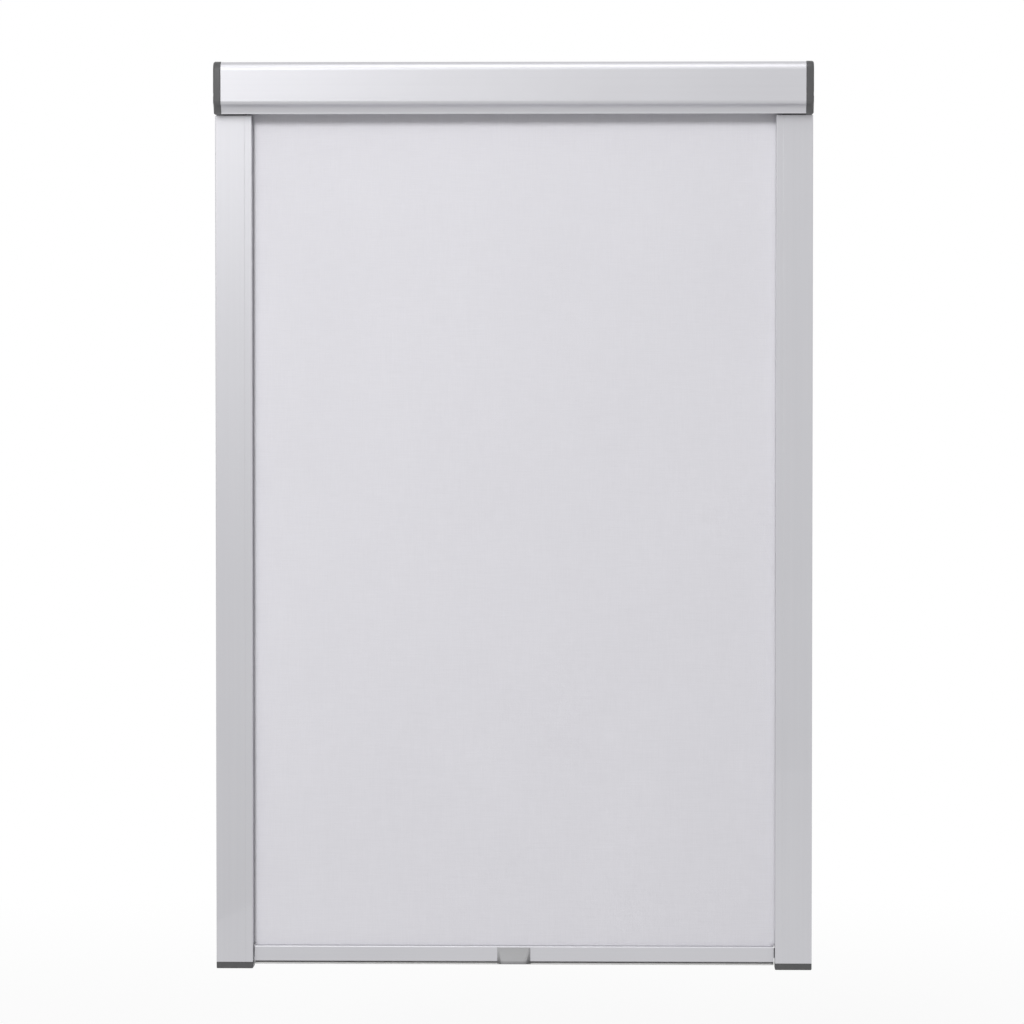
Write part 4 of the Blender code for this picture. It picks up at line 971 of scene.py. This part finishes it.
def tube_section():
    """The tube in depth and height: its outside with the keyway, and its bore with the keyway's hump."""
    neck, half_key, under = TUBE_KEY_NECK / 2, TUBE_KEY_WIDTH / 2, TUBE_RADIUS - TUBE_KEY_LIP
    floor = under - TUBE_KEY_DEPTH
    key = [(neck, under), (half_key, under), (half_key, floor)]
    key += [(-half_key, floor), (-half_key, under), (-neck, under)]
    hump, hump_floor = half_key + TUBE_WALL, floor - TUBE_WALL
    outside = notched_ring(TUBE_RADIUS, neck, key)
    bore = notched_ring(TUBE_RADIUS - TUBE_WALL, hump, [(hump, hump_floor), (-hump, hump_floor)])
    return [soften(loop, DIE_ROUND / 2) + (ROLLER_DEPTH, ROLLER_Z) for loop in (outside, bore)]


corners, faces = carried(tube_section(), tube_low.x, tube_high.x, across)
add_surface("winding_tube", corners, faces, "roller_tube", "roller")
print(f"tube: {mm(2 * TUBE_RADIUS)} across, {mm(tube_high.x - tube_low.x)} long")

# %% [markdown]
# The end caps close the head box, so they follow its section, and the packed caps follow the packed one.
# Their points near the cove are carried over to the cove as it is drawn here. Each point keeps its
# distances to the curve, measured square to it and along it.

# %% Fitting the caps to the cove
PACKED_ROUND = 0.0025
PACKED_TURN = 90.0
PACKED_UNDERCUT = 0.0005
COVE_REACH = 0.004
BEFORE_CREASE = 0.0002


def follow_cove(corners):
    """Carry a cap's points from the packed cove to the drawn one.

    A point at packed + a inward + b along goes to drawn + a inward + b along, with a and b kept.
    """
    spots = np.column_stack([-corners[:, 1], corners[:, 2]])
    packed, packed_inward = cove(PACKED_ROUND, PACKED_TURN, PACKED_UNDERCUT)
    drawn, drawn_inward = cove(COVE_ROUND, COVE_TURN)
    gaps = spots[:, None] - packed[None]
    nearest = np.argmin((gaps ** 2).sum(axis=2), axis=1)
    gap = gaps[np.arange(len(spots)), nearest]
    inward, new_inward = packed_inward[nearest], drawn_inward[nearest]
    ahead, new_ahead = inward[:, ::-1] * (-1.0, 1.0), new_inward[:, ::-1] * (-1.0, 1.0)
    deep, along = (gap * inward).sum(axis=1)[:, None], (gap * ahead).sum(axis=1)[:, None]
    moved = drawn[nearest] + deep * new_inward + along * new_ahead
    before_lip = nearest[:, None] < len(packed) - 1
    on_cove = (np.abs(deep) < COVE_REACH) & (along > -BEFORE_CREASE) & before_lip
    spots = np.where(on_cove, moved, spots)
    return np.column_stack([corners[:, 0], -spots[:, 0], spots[:, 1]])


print(f"a cap's points move where they lie within {mm(COVE_REACH)} of the cove")

# %% [markdown]
# A moulded or turned piece already has its right form in the packed model, but its edges are knife sharp
# and catch no light. Drawing each of them again would gain little. Instead its mesh is copied, its loose
# triangles are merged, flat regions become single faces, and a small live bevel rounds every real edge.
# The handle is meant for fingers, so its edges are rounder than the others.

# %% Rounded copies of moulded pieces
LOOSE_GAP = 0.000005
FLAT_TURN = radians(1.0)
BEVEL_TURN = radians(24.0)
MOULD_ROUND = 0.0003
MOULD_SEGMENTS = 2
GRIP_ROUND = 0.0005
GRIP_SEGMENTS = 3


def round_copy(name, node, body, width=MOULD_ROUND, segments=MOULD_SEGMENTS, reshape=None):
    """A merged copy of a packed node, with a bevel on each edge that turns by more than 24 degrees."""
    shape = bmesh.new()
    shape.from_mesh(frame["nodes"][node].data)
    bmesh.ops.remove_doubles(shape, verts=shape.verts[:], dist=LOOSE_GAP)
    bmesh.ops.dissolve_limit(shape, angle_limit=FLAT_TURN, verts=shape.verts[:], edges=shape.edges[:])
    mesh = bpy.data.meshes.new(name)
    shape.to_mesh(mesh)
    shape.free()
    if reshape is not None:
        corners = np.empty(len(mesh.vertices) * 3)
        mesh.vertices.foreach_get("co", corners)
        mesh.vertices.foreach_set("co", reshape(corners.reshape(-1, 3)).ravel())
        mesh.update()
    piece = link_object(name, mesh)
    seat(piece, node, body)
    bevel = piece.modifiers.new("edge_round", "BEVEL")
    bevel.width = width
    bevel.segments = segments
    bevel.limit_method = "ANGLE"
    bevel.angle_limit = BEVEL_TURN
    bevel.harden_normals = True


for side_name in SIDES:
    round_copy("cap_" + side_name, "end_cap_" + side_name, "casing", reshape=follow_cove)
    round_copy("foot_" + side_name, "rail_foot_" + side_name, "casing")
    round_copy("glider_" + side_name, "slider_" + side_name, "pull_bar")
    round_copy("felt_pad_" + side_name, "brake_pad_" + side_name, "pull_bar")
round_copy("grip", "pull_handle", "pull_bar", GRIP_ROUND, GRIP_SEGMENTS)
round_copy("plug_spring_end", "spring_plug", "roller")
round_copy("plug_pin_end", "idler_plug", "roller")
round_copy("spring_hub", "spring_anchor", "casing")
round_copy("fixed_shaft", "spring_shaft", "casing")
rounded = [piece.name for piece in bpy.data.objects if "edge_round" in piece.modifiers]
print("rounded copies of", len(rounded), "moulded and turned pieces")

# %% [markdown]
# Springs, screws and other round things are a stack of rings. A curve with a round bevel would make a
# wire quickly, but its section turns along the way. Here each ring of the wire is set square to the path
# from its own heading, so the surface is one even grid, closed at each end by a fan of triangles.

# %% A skin over rings
WIRE_SIDES = 12


def tube_along(path, ahead, aside, radius, sides=WIRE_SIDES):
    """Rings round a path: path + radius (cos a, sin a) in the plane of aside and ahead x aside."""
    ahead = ahead / np.linalg.norm(ahead, axis=1, keepdims=True)
    aside = aside / np.linalg.norm(aside, axis=1, keepdims=True)
    upward = np.cross(ahead, aside)
    turn = np.linspace(0.0, 2 * pi, sides, endpoint=False)[None, :, None]
    return path[:, None] + radius * (np.cos(turn) * aside[:, None] + np.sin(turn) * upward[:, None])


def skin(rings):
    """Points and faces of a stack of equal rings, with a fan to the middle of the first and last."""
    count, sides = rings.shape[:2]
    row = np.arange(count - 1)[:, None] * sides
    here = np.arange(sides)[None]
    ahead = np.roll(np.arange(sides), -1)[None]
    quads = np.stack([row + here, row + ahead, row + sides + ahead, row + sides + here], axis=2)
    points = np.vstack([rings.reshape(-1, 3), rings[0].mean(axis=0), rings[-1].mean(axis=0)])
    first, last = len(points) - 2, len(points) - 1
    fan = np.column_stack([ahead[0], here[0], np.full(sides, first)])
    end = (count - 1) * sides
    far_fan = np.column_stack([here[0] + end, ahead[0] + end, np.full(sides, last)])
    return points, quads.reshape(-1, 4).tolist() + fan.tolist() + far_fan.tolist()


print(f"a wire has {WIRE_SIDES} sides")

# %% [markdown]
# The torsion spring in the roller balances the bar, and a small compression spring presses each brake pad
# against its rail. Each is a round wire on a helix that fills its packed node from end to end.

# %% Wound springs
COIL_STEPS = 32
SPRING_TURNS = 22
SPRING_RADIUS = 0.0072
SPRING_WIRE = 0.0014
BRAKE_TURNS = 5
BRAKE_RADIUS = 0.0019
BRAKE_WIRE = 0.0005


def add_spring(name, node, body, depth, height, radius, turns, wire):
    """A helix along X through the node's box: x = pitch t / 2 pi, and radius (cos t, sin t) across."""
    low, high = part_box(node)
    climb = (high.x - low.x - wire) / turns / (2 * pi)
    t = np.linspace(0.0, 2 * pi * turns, turns * COIL_STEPS + 1)
    level = np.zeros_like(t)
    start = np.array([low.x + wire / 2, -depth, height])
    path = start + np.column_stack([climb * t, radius * np.cos(t), radius * np.sin(t)])
    ahead = np.column_stack([level + climb, -radius * np.sin(t), radius * np.cos(t)])
    aside = np.column_stack([level, np.cos(t), np.sin(t)])
    corners, faces = skin(tube_along(path, ahead, aside, wire / 2))
    add_surface(name, corners, faces, node, body)


spring_facts = (SPRING_RADIUS, SPRING_TURNS, SPRING_WIRE)
add_spring("wound_spring", "torsion_spring", "roller", ROLLER_DEPTH, ROLLER_Z, *spring_facts)
for side_name in SIDES:
    node = "brake_spring_" + side_name
    low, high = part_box(node)
    place = (FABRIC_DEPTH, (low.z + high.z) / 2)
    add_spring("coil_" + side_name, node, "pull_bar", *place, BRAKE_RADIUS, BRAKE_TURNS, BRAKE_WIRE)
print(f"springs: {SPRING_TURNS} turns round the shaft and {BRAKE_TURNS} behind each brake pad")

# %% [markdown]
# The screws are self-tapping, with a thread from the tip to the head. The thread is a ridge that winds
# round the shank: the radius rises with a triangle wave of the angle and the height together. A helix
# with a section of its own would need to be joined to the core, while this way the shank stays one grid.

# %% Screw thread
SCREW_SIDES = 48
SCREW_SHANK = 0.0012
THREAD_DEPTH = 0.00022
THREAD_PITCH = 0.0010
RINGS_PER_PITCH = 8
SCREW_CORE = SCREW_SHANK - THREAD_DEPTH


def ring_at(radius, along):
    """Points at radius (cos t, sin t) round the X axis, at a place along it."""
    turn = np.linspace(0.0, 2 * pi, SCREW_SIDES, endpoint=False)
    return np.column_stack([np.full(SCREW_SIDES, along), radius * np.cos(turn), radius * np.sin(turn)])


def thread_rings(low, high):
    """Rings from low to high, whose radius is the core plus depth (1 - |2 frac(x/pitch - t/2pi) - 1|).

    The ridge dies away over the last two pitches, under the head.
    """
    turn = np.linspace(0.0, 1.0, SCREW_SIDES, endpoint=False)[None]
    along = np.linspace(low, high, int((high - low) / THREAD_PITCH * RINGS_PER_PITCH) + 1)[:, None]
    wave = 1 - np.abs(2 * np.mod(along / THREAD_PITCH - turn, 1.0) - 1)
    ease = np.clip((high - along) / (2 * THREAD_PITCH), 0.0, 1.0)
    radius = SCREW_CORE + THREAD_DEPTH * wave * ease
    angle = 2 * pi * turn
    x = np.broadcast_to(along, radius.shape)
    return np.stack([x, radius * np.cos(angle), radius * np.sin(angle)], axis=2)


print(f"thread: {mm(2 * SCREW_SHANK)} across, {mm(THREAD_PITCH)} from ridge to ridge")

# %% [markdown]
# A screw's head is flat, with a softened rim and a cross recess for the driver. The recess could be cut
# with a boolean, but two outlines do it cleanly: a larger cross at the mouth, which is a hole in the flat
# face, and a smaller one at the foot, with walls between them.

# %% Screws with a cross recess
SCREW_HEAD_RADIUS = 0.0028
SCREW_HEAD_HEIGHT = 0.0016
SCREW_EDGE = 0.0004
SCREW_EDGE_STEPS = 5
SCREW_TIP = 0.0002
TIP_SHOULDER = 0.6
CROSS_REACH = 0.0015
CROSS_WIDTH = 0.0006
CROSS_DEPTH = 0.0011
CROSS_TAPER = 0.55


def cross_loop(share, along):
    """The twelve corners of a cross at a share of its full size, softened, at a place along X."""
    reach, width = CROSS_REACH * share, CROSS_WIDTH * share / 2
    arm = np.array([(reach, -width), (reach, width), (width, width)])
    turns = [np.array([(cos(q), -sin(q)), (sin(q), cos(q))]) for q in np.radians([0, 90, 180, 270])]
    loop = soften(np.vstack([arm @ turn.T for turn in turns]), width / 2)
    return np.column_stack([np.full(len(loop), along), loop])


def screw_rings(tip, head_face):
    """The rings of a screw along +X: a blunt tip, the thread, and the head with its softened rim."""
    head_back = head_face - SCREW_HEAD_HEIGHT
    point = [ring_at(SCREW_TIP, tip), ring_at(SCREW_CORE * TIP_SHOULDER, tip + SCREW_CORE / 2)]
    head = [ring_at(SCREW_CORE, head_back), ring_at(SCREW_HEAD_RADIUS, head_back)]
    corner = (head_face - SCREW_EDGE, SCREW_HEAD_RADIUS - SCREW_EDGE)
    head += [ring_at(radius, along) for along, radius in arc(corner, SCREW_EDGE, 90, 0, SCREW_EDGE_STEPS)]
    return np.concatenate([np.stack(point), thread_rings(tip + SCREW_CORE, head_back), np.stack(head)])


def screw_surface(tip, head_face):
    """A screw along +X: its rings, and in place of the last fan a flat face with a cross sunk into it."""
    rings = screw_rings(tip, head_face)
    body, sides = skin(rings)
    sides = [face for face in sides if len(face) == 4 or face[2] != len(body) - 1]
    rim = rings[-1]
    mouth = cross_loop(1.0, head_face)
    floor = cross_loop(CROSS_TAPER, head_face - CROSS_DEPTH)
    base, count = len(body), len(mouth)
    lid = np.array(tessellate_polygon([rim[:, 1:].tolist(), mouth[:, 1:].tolist()]))
    place = np.concatenate([np.arange(len(rim)) + (len(rings) - 1) * SCREW_SIDES, np.arange(count) + base])
    here = np.arange(count)
    ahead = np.roll(here, -1)
    walls = np.column_stack([here, ahead, ahead + count, here + count]) + base
    bottom = np.array(tessellate_polygon([floor[:, 1:].tolist()])) + base + count
    faces = sides + place[lid].tolist() + walls.tolist() + bottom.tolist()
    return np.vstack([body, mouth, floor]), faces


for side_name, side in SIDES.items():
    for place in ("front", "top"):
        node = f"cap_screw_{side_name}_{place}"
        low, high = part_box(node)
        tip, head_face = sorted((abs(low.x), abs(high.x)))
        corners, faces = screw_surface(tip, head_face)
        corners = corners * (side, 1.0, 1.0) + (0.0, (low.y + high.y) / 2, (low.z + high.z) / 2)
        add_surface(f"tapping_screw_{side_name}_{place}", corners, faces, node, "casing")
print(f"screws: {len(corners)} points each, a cross recess {mm(2 * CROSS_REACH)} wide")

# %% [markdown]
# The slots of the rails are lined with pile weather strip: a flat woven backing in the groove and a row
# of short fibres. A plain block would look like rubber from close by, so the fibres are real: thousands
# of slim three-sided spikes, each with its own seeded lean, all in one mesh.

# %% Pile strips
LIPS = {"back": -1, "front": 1}
FIBRES = 3600
FIBRE_HALF = 0.00013
FIBRE_LEAN = 0.00035
SHORTEST_FIBRE = 0.8
PILE_REACH = 0.0008
STRIP_FIT = 0.0003


def spikes(roots, tips, half):
    """Four points and four faces for each root and tip: three corners round the root, and the tip."""
    turn = np.radians([90.0, 210.0, 330.0])
    ring = half * np.column_stack([np.cos(turn), np.zeros(3), np.sin(turn)])
    points = np.concatenate([roots[:, None] + ring[None], tips[:, None]], axis=1)
    pattern = np.array([(0, 1, 3), (1, 2, 3), (2, 0, 3), (0, 2, 1)])
    faces = pattern[None] + 4 * np.arange(len(roots))[:, None, None]
    return points.reshape(-1, 3), faces.reshape(-1, 3)


def pile_surface(side, away, low, high, seed):
    """A backing in the groove, and fibres from it past the slot's edge, in a strip along Z."""
    edge = FABRIC_DEPTH + away * SLOT_OPENING / 2
    near = edge + away * (PILE_LIP + STRIP_FIT)
    far = edge + away * (PILE_LIP + PILE_POCKET - STRIP_FIT)
    back_half = PILE_HEAD / 2 - STRIP_FIT
    fibre_half = PILE_NECK / 2 - STRIP_FIT - FIBRE_HALF
    block = rectangle((PILE_AT - back_half, min(near, far)), (PILE_AT + back_half, max(near, far)))
    corners, faces = carried([block], low, high, upright(side))
    draw = np.random.default_rng(seed)
    across_rail = PILE_AT + fibre_half * draw.uniform(-1.0, 1.0, FIBRES)
    up = draw.uniform(low + FIBRE_LEAN, high - FIBRE_LEAN, FIBRES)
    lean = draw.uniform(-FIBRE_LEAN, FIBRE_LEAN, (FIBRES, 2))
    tip = edge - away * PILE_REACH * draw.uniform(SHORTEST_FIBRE, 1.0, FIBRES)
    roots = np.column_stack([side * (RAIL_INNER + across_rail), np.full(FIBRES, -near), up])
    side_lean = np.clip(across_rail + lean[:, 0], PILE_AT - fibre_half, PILE_AT + fibre_half)
    tips = np.column_stack([side * (RAIL_INNER + side_lean), -tip, up + lean[:, 1]])
    fibre_points, fibre_faces = spikes(roots, tips, FIBRE_HALF)
    return np.vstack([corners, fibre_points]), faces + (fibre_faces + len(corners)).tolist()


strips = [(side_name, lip) for side_name in SIDES for lip in LIPS]
for seed, (side_name, lip) in enumerate(strips):
    node = f"pile_{side_name}_{lip}"
    low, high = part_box(node)
    corners, faces = pile_surface(SIDES[side_name], LIPS[lip], low.z, high.z, seed)
    add_surface(f"brush_{side_name}_{lip}", corners, faces, node, "casing")
print(f"pile: {FIBRES} fibres in each of {len(strips)} strips")

# %% [markdown]
# The cloth is one tight sheet. Cloth simulation would only add noise to it, because both edges run in the
# rails and the brakes hold it taut. What remains on a real one is a faint waviness under the head box,
# where the roll lets it go. So its depth is a sum of two slow waves, faded out at the rails and towards
# the bar. Near the roll it lies one thickness outside the outer turn, and its waves only lead away from
# it, so that the two layers still don't meet when the sheet shortens.

# %% How the cloth waves
WAVE_DEPTH = 0.00035
WAVES = [(0.65, 0.21, 0.6), (0.35, 0.083, 2.0)]
FADE_IN = 0.03
FADE_OUT = 0.16
BELLY = 0.12
RAIL_FADE = 0.03
CLEAR_DEPTH = 0.00043
CLEAR_RUN = 0.064

cloth_top, cloth_foot = fabric_high.z, fabric_low.z


def eased(share):
    """A share from 0 to 1 that starts and ends level: 3 s^2 - 2 s^3."""
    return share * share * (3 - 2 * share)


def cloth_depth(x, height):
    """How far the cloth lies behind its middle plane.

    It is depth (1 + waves) fade eased(rails) + clear (1 - (d / run)^2). Each wave is a share times
    sin(2 pi x / length + start), and d is the distance below the roller's height. The fade rises at once
    below the roller, dies away over 0.16 of the length and leaves a slight belly in the middle.
    """
    waves = sum(share * np.sin(2 * pi * x / length + start) for share, length, start in WAVES)
    down = (cloth_top - height) / (cloth_top - cloth_foot)
    fade = np.exp(-down / FADE_OUT) * (1 - np.exp(-down / FADE_IN)) + BELLY * np.sin(pi * down) ** 2
    rails = np.clip((RAIL_INNER - np.abs(x)) / RAIL_FADE, 0.0, 1.0)
    clear = CLEAR_DEPTH * np.clip(1 - ((cloth_top - height) / CLEAR_RUN) ** 2, 0.0, 1.0)
    return WAVE_DEPTH * (1 + waves) * fade * eased(rails) + clear


trial = np.meshgrid(np.linspace(-RAIL_INNER, RAIL_INNER), np.linspace(cloth_foot, cloth_top))
print(f"the cloth leaves its middle plane by up to {mm(cloth_depth(*trial).max(), 2)}")

# %% [markdown] The sheet is a grid over the blind's width and height. Its edges run on into the slots of
# the rails, and its foot is narrower, to pass between the gliders into the bar's keyway, so the cells
# beside the foot are left out.

# %% The sheet of cloth
CLOTH_THICKNESS = 0.0004
CLOTH_COLUMNS = 150
CLOTH_ROWS = 190
HEM_STEP = 0.001

spline_low, spline_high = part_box("bar_spline")
cloth_half = (fabric_high.x - fabric_low.x) / 2
hem_half = (spline_high.x - spline_low.x) / 2
hem_at = bar_high.z + HEM_STEP


def sheet_surface():
    """A grid over width and height, without the cells beside the narrower hem."""
    inside = np.linspace(-hem_half, hem_half, CLOTH_COLUMNS)
    columns = np.concatenate([[-cloth_half, -RAIL_INNER], inside, [RAIL_INNER, cloth_half]])
    above = np.linspace(cloth_top, hem_at, CLOTH_ROWS)
    rows = np.concatenate([above, [(hem_at + cloth_foot) / 2, cloth_foot]])
    x, z = np.meshgrid(columns, rows)
    points = np.stack([x, -FABRIC_DEPTH + cloth_depth(x, z), z], axis=2).reshape(-1, 3)
    wide = len(columns)
    row, column = np.meshgrid(np.arange(len(rows) - 1), np.arange(wide - 1), indexing="ij")
    held = (row < CLOTH_ROWS - 1) | ((column > 1) & (column < wide - 3))
    first = (row * wide + column)[held]
    cells = np.column_stack([first, first + wide, first + wide + 1, first + 1])
    used, renumbered = np.unique(cells, return_inverse=True)
    return points[used], renumbered.reshape(-1, 4).tolist()


def thicken(piece, thickness):
    """Give a surface its thickness, half to each side."""
    solid = piece.modifiers.new("thickness", "SOLIDIFY")
    solid.thickness = thickness
    solid.offset = 0.0


corners, faces = sheet_surface()
sheet = add_surface("blind_cloth", corners, faces, "fabric", "casing")
thicken(sheet, CLOTH_THICKNESS)
print(f"cloth: {mm(2 * cloth_half)} x {mm(cloth_top - cloth_foot)}, {len(faces)} cells")

# %% [markdown]
# What is wound up is the same cloth. With the blind closed a few wraps stay on the tube, and they show
# from below through the open foot of the head box. The packed spiral has flat facets, so the roll is
# worked out again as a strip on a spiral. Its outer turn keeps one radius, so that the sheet still leaves
# it at a tangent whatever the roller's angle.

# %% The wraps on the roller
WRAPS = 2.25
WRAP_PITCH = 0.0008
WRAP_STEPS = 96
ROLL_CELLS = 40
DROP_TURN = 0.4
WRAP_START = 0.0003

roll_low, roll_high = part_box("fabric_roll")
ROLL_RADIUS = ROLLER_DEPTH - FABRIC_DEPTH


def roll_surface():
    """Points at radius r(s) (-cos s, sin s); r is level for a turn, then falls one pitch for each turn.

    It also steps in by one pitch at the end of the level turn, eased over the drop.
    """
    s = np.linspace(WRAP_START / ROLL_RADIUS, 2 * pi * WRAPS, int(WRAPS * WRAP_STEPS))
    step_in = np.clip((s - (2 * pi - DROP_TURN)) / DROP_TURN, 0.0, 1.0)
    beyond = np.clip(s / (2 * pi) - 1, 0.0, None)
    radius = ROLL_RADIUS - WRAP_PITCH * (eased(step_in) + beyond)
    depth, up = ROLLER_DEPTH - radius * np.cos(s), ROLLER_Z + radius * np.sin(s)
    along = np.linspace(roll_low.x, roll_high.x, ROLL_CELLS + 1)
    x, y = np.meshgrid(along, -depth)
    z = np.repeat(up[:, None], len(along), axis=1)
    rows, columns = x.shape
    row, column = np.meshgrid(np.arange(rows - 1), np.arange(columns - 1), indexing="ij")
    first = (row * columns + column).ravel()
    cells = np.column_stack([first, first + 1, first + columns + 1, first + columns])
    return np.stack([x, y, z], axis=2).reshape(-1, 3), cells.tolist()


corners, faces = roll_surface()
roll = add_surface("wound_cloth", corners, faces, "fabric_roll", "roller")
thicken(roll, CLOTH_THICKNESS)
print(f"roll: {WRAPS} turns on a radius of {mm(ROLL_RADIUS)}")

# Its flat cut is what hangs with the blind closed; the wraps on the roller are the same length of material
# and stay there. As the bar rises the hanging part shortens towards the roller, and the share of the cut
# that stays hung is worked out here.

# %% The cloth's cut and its shortening
cut_width, cut_length = 2 * cloth_half, cloth_top - cloth_foot
slide = next(joint for joint in frame["joints"] if joint["name"] == "bar_slide")
slide_range = slide["range_m"][1]
shortened = 1 - slide_range / cut_length
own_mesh(sheet)

# %% [markdown]
# The photograph's shadows say where the main light stood. The head box throws a band about 10 mm deep on
# the cloth from 29 mm away, and the left rail a thinner one to its right, so it came from above, in front
# and a little to the left. It lights matt surfaces only. What the aluminium mirrors is a softer lamp close
# by, which makes the sheen fade from the top left corner, and one above that only reflections show, for
# the crown of the head box. A low lamp behind lights the matt back, which the camera doesn't see.

# %% Lamps
KEY_LAMP = {"azimuth": -12.0, "elevation": 21.5, "distance": 5.0, "size": 0.8, "power": 117.0}
NEAR_LAMP = {"azimuth": -25.0, "elevation": 30.0, "distance": 1.8, "size": 0.8, "power": 5.6}
CROWN_LAMP = {"azimuth": 0.0, "elevation": 66.0, "distance": 2.0, "size": 1.0, "power": 5.0}
BACK_LAMP = {"azimuth": 168.0, "elevation": 9.0, "distance": 5.0, "size": 1.2, "power": 115.0}


def add_lamp(name, azimuth, elevation, distance, size, power, on_matt=True, in_gloss=True):
    """A square lamp on a sphere around the blind: azimuth 0 is the front, minus is left, in degrees."""
    light = bpy.data.lights.new(name, "AREA")
    light.shape = "SQUARE"
    light.size = size
    light.energy = power
    lamp = link_object(name, light)
    lamp.visible_camera = False
    lamp.visible_diffuse = on_matt
    lamp.visible_glossy = in_gloss
    turn, rise = radians(azimuth), radians(elevation)
    towards = Vector((sin(turn) * cos(rise), -cos(turn) * cos(rise), sin(rise)))
    lamp.location = blind_centre + distance * towards
    lamp.rotation_euler = towards.to_track_quat("Z", "Y").to_euler()


add_lamp("key_lamp", **KEY_LAMP, in_gloss=False)
add_lamp("near_lamp", **NEAR_LAMP)
add_lamp("crown_lamp", **CROWN_LAMP, on_matt=False)
add_lamp("back_lamp", **BACK_LAMP, in_gloss=False)
print("studio lit by", len(bpy.data.lights), "lamps")

# %% [markdown]
# Around the blind is a soft white surround. As a light it is weak, so that the lamps still model the
# forms, but the camera and the reflections see it at full white. The Light Path node tells the two apart,
# because it says what kind of ray asks.

# %% White surround
SURROUND = 0.23
WHITE = (1.0, 1.0, 1.0, 1.0)


def make_surround():
    """A white world at full strength for the camera and for reflections, and weaker as a light."""
    world = bpy.data.worlds.new("studio_surround")
    bpy.context.scene.world = world
    world.use_nodes = True
    sky = Finish(tree=world.node_tree)
    rays = sky.outputs("ShaderNodeLightPath")
    seen = (rays["Is Camera Ray"] + rays["Is Transmission Ray"] + rays["Is Glossy Ray"]).at_most(1.0)
    background = world.node_tree.nodes["Background"]
    sky.feed(background.inputs["Color"], WHITE)
    sky.feed(background.inputs["Strength"], SURROUND + seen * (1.0 - SURROUND))


make_surround()
print(f"the surround shines at {SURROUND} of what is seen of it")

# %% [markdown]
# The blind hangs a little above a pale floor. Near the blind the camera sees some of the floor's own
# paint, which keeps the soft shadow, and further out the floor melts into the white surround, as a paper
# sweep in a studio does. Reflections only see white.

# %% Pale floor
FLOOR_DROP = 0.16
FLOOR_SPAN = 14.0
FLOOR_PAINT = (0.86, 0.86, 0.86, 1.0)
GLOW_SHARE = 0.9
GLOW_START = 0.6
GLOW_RUN = 1.6


def floor_finish(centre):
    """Paint and glow: the glow's share rises from 0.9 at 0.6 m from the centre to 1 at 2.2 m."""
    finish = Finish("pale_floor")
    rays = finish.outputs("ShaderNodeLightPath")
    reflected = rays["Is Glossy Ray"] + rays["Is Transmission Ray"]
    paint = finish.node("ShaderNodeBsdfDiffuse", inputs={"Color": FLOOR_PAINT})
    glow = finish.node("ShaderNodeEmission", inputs={"Color": WHITE, "Strength": 1.0})
    spot = finish.place(offset=tuple(-part for part in centre))
    away = finish.node("ShaderNodeVectorMath", {"operation": "LENGTH"}, {0: spot}, output="Value")
    far = ((away - GLOW_START) * (1.0 / GLOW_RUN)).clipped()
    share = GLOW_SHARE + far * (1.0 - GLOW_SHARE)
    seen = (rays["Is Camera Ray"] * share + reflected).at_most(1.0)
    mixed = finish.node("ShaderNodeMixShader", inputs={0: seen, 1: paint, 2: glow})
    finish.feed(finish.tree.nodes["Material Output"].inputs["Surface"], mixed)
    return finish.material


def make_floor():
    half = FLOOR_SPAN / 2
    height = blind_low.z - FLOOR_DROP
    corners = [(-half, -half, height), (half, -half, height), (half, half, height), (-half, half, height)]
    mesh = bpy.data.meshes.new("studio_floor")
    mesh.from_pydata(corners, [], [(0, 1, 2, 3)])
    mesh.materials.append(floor_finish((blind_centre.x, blind_centre.y, height)))
    link_object("studio_floor", mesh)


make_floor()
print(f"the floor lies {mm(FLOOR_DROP)} below the blind")

# %% [markdown]
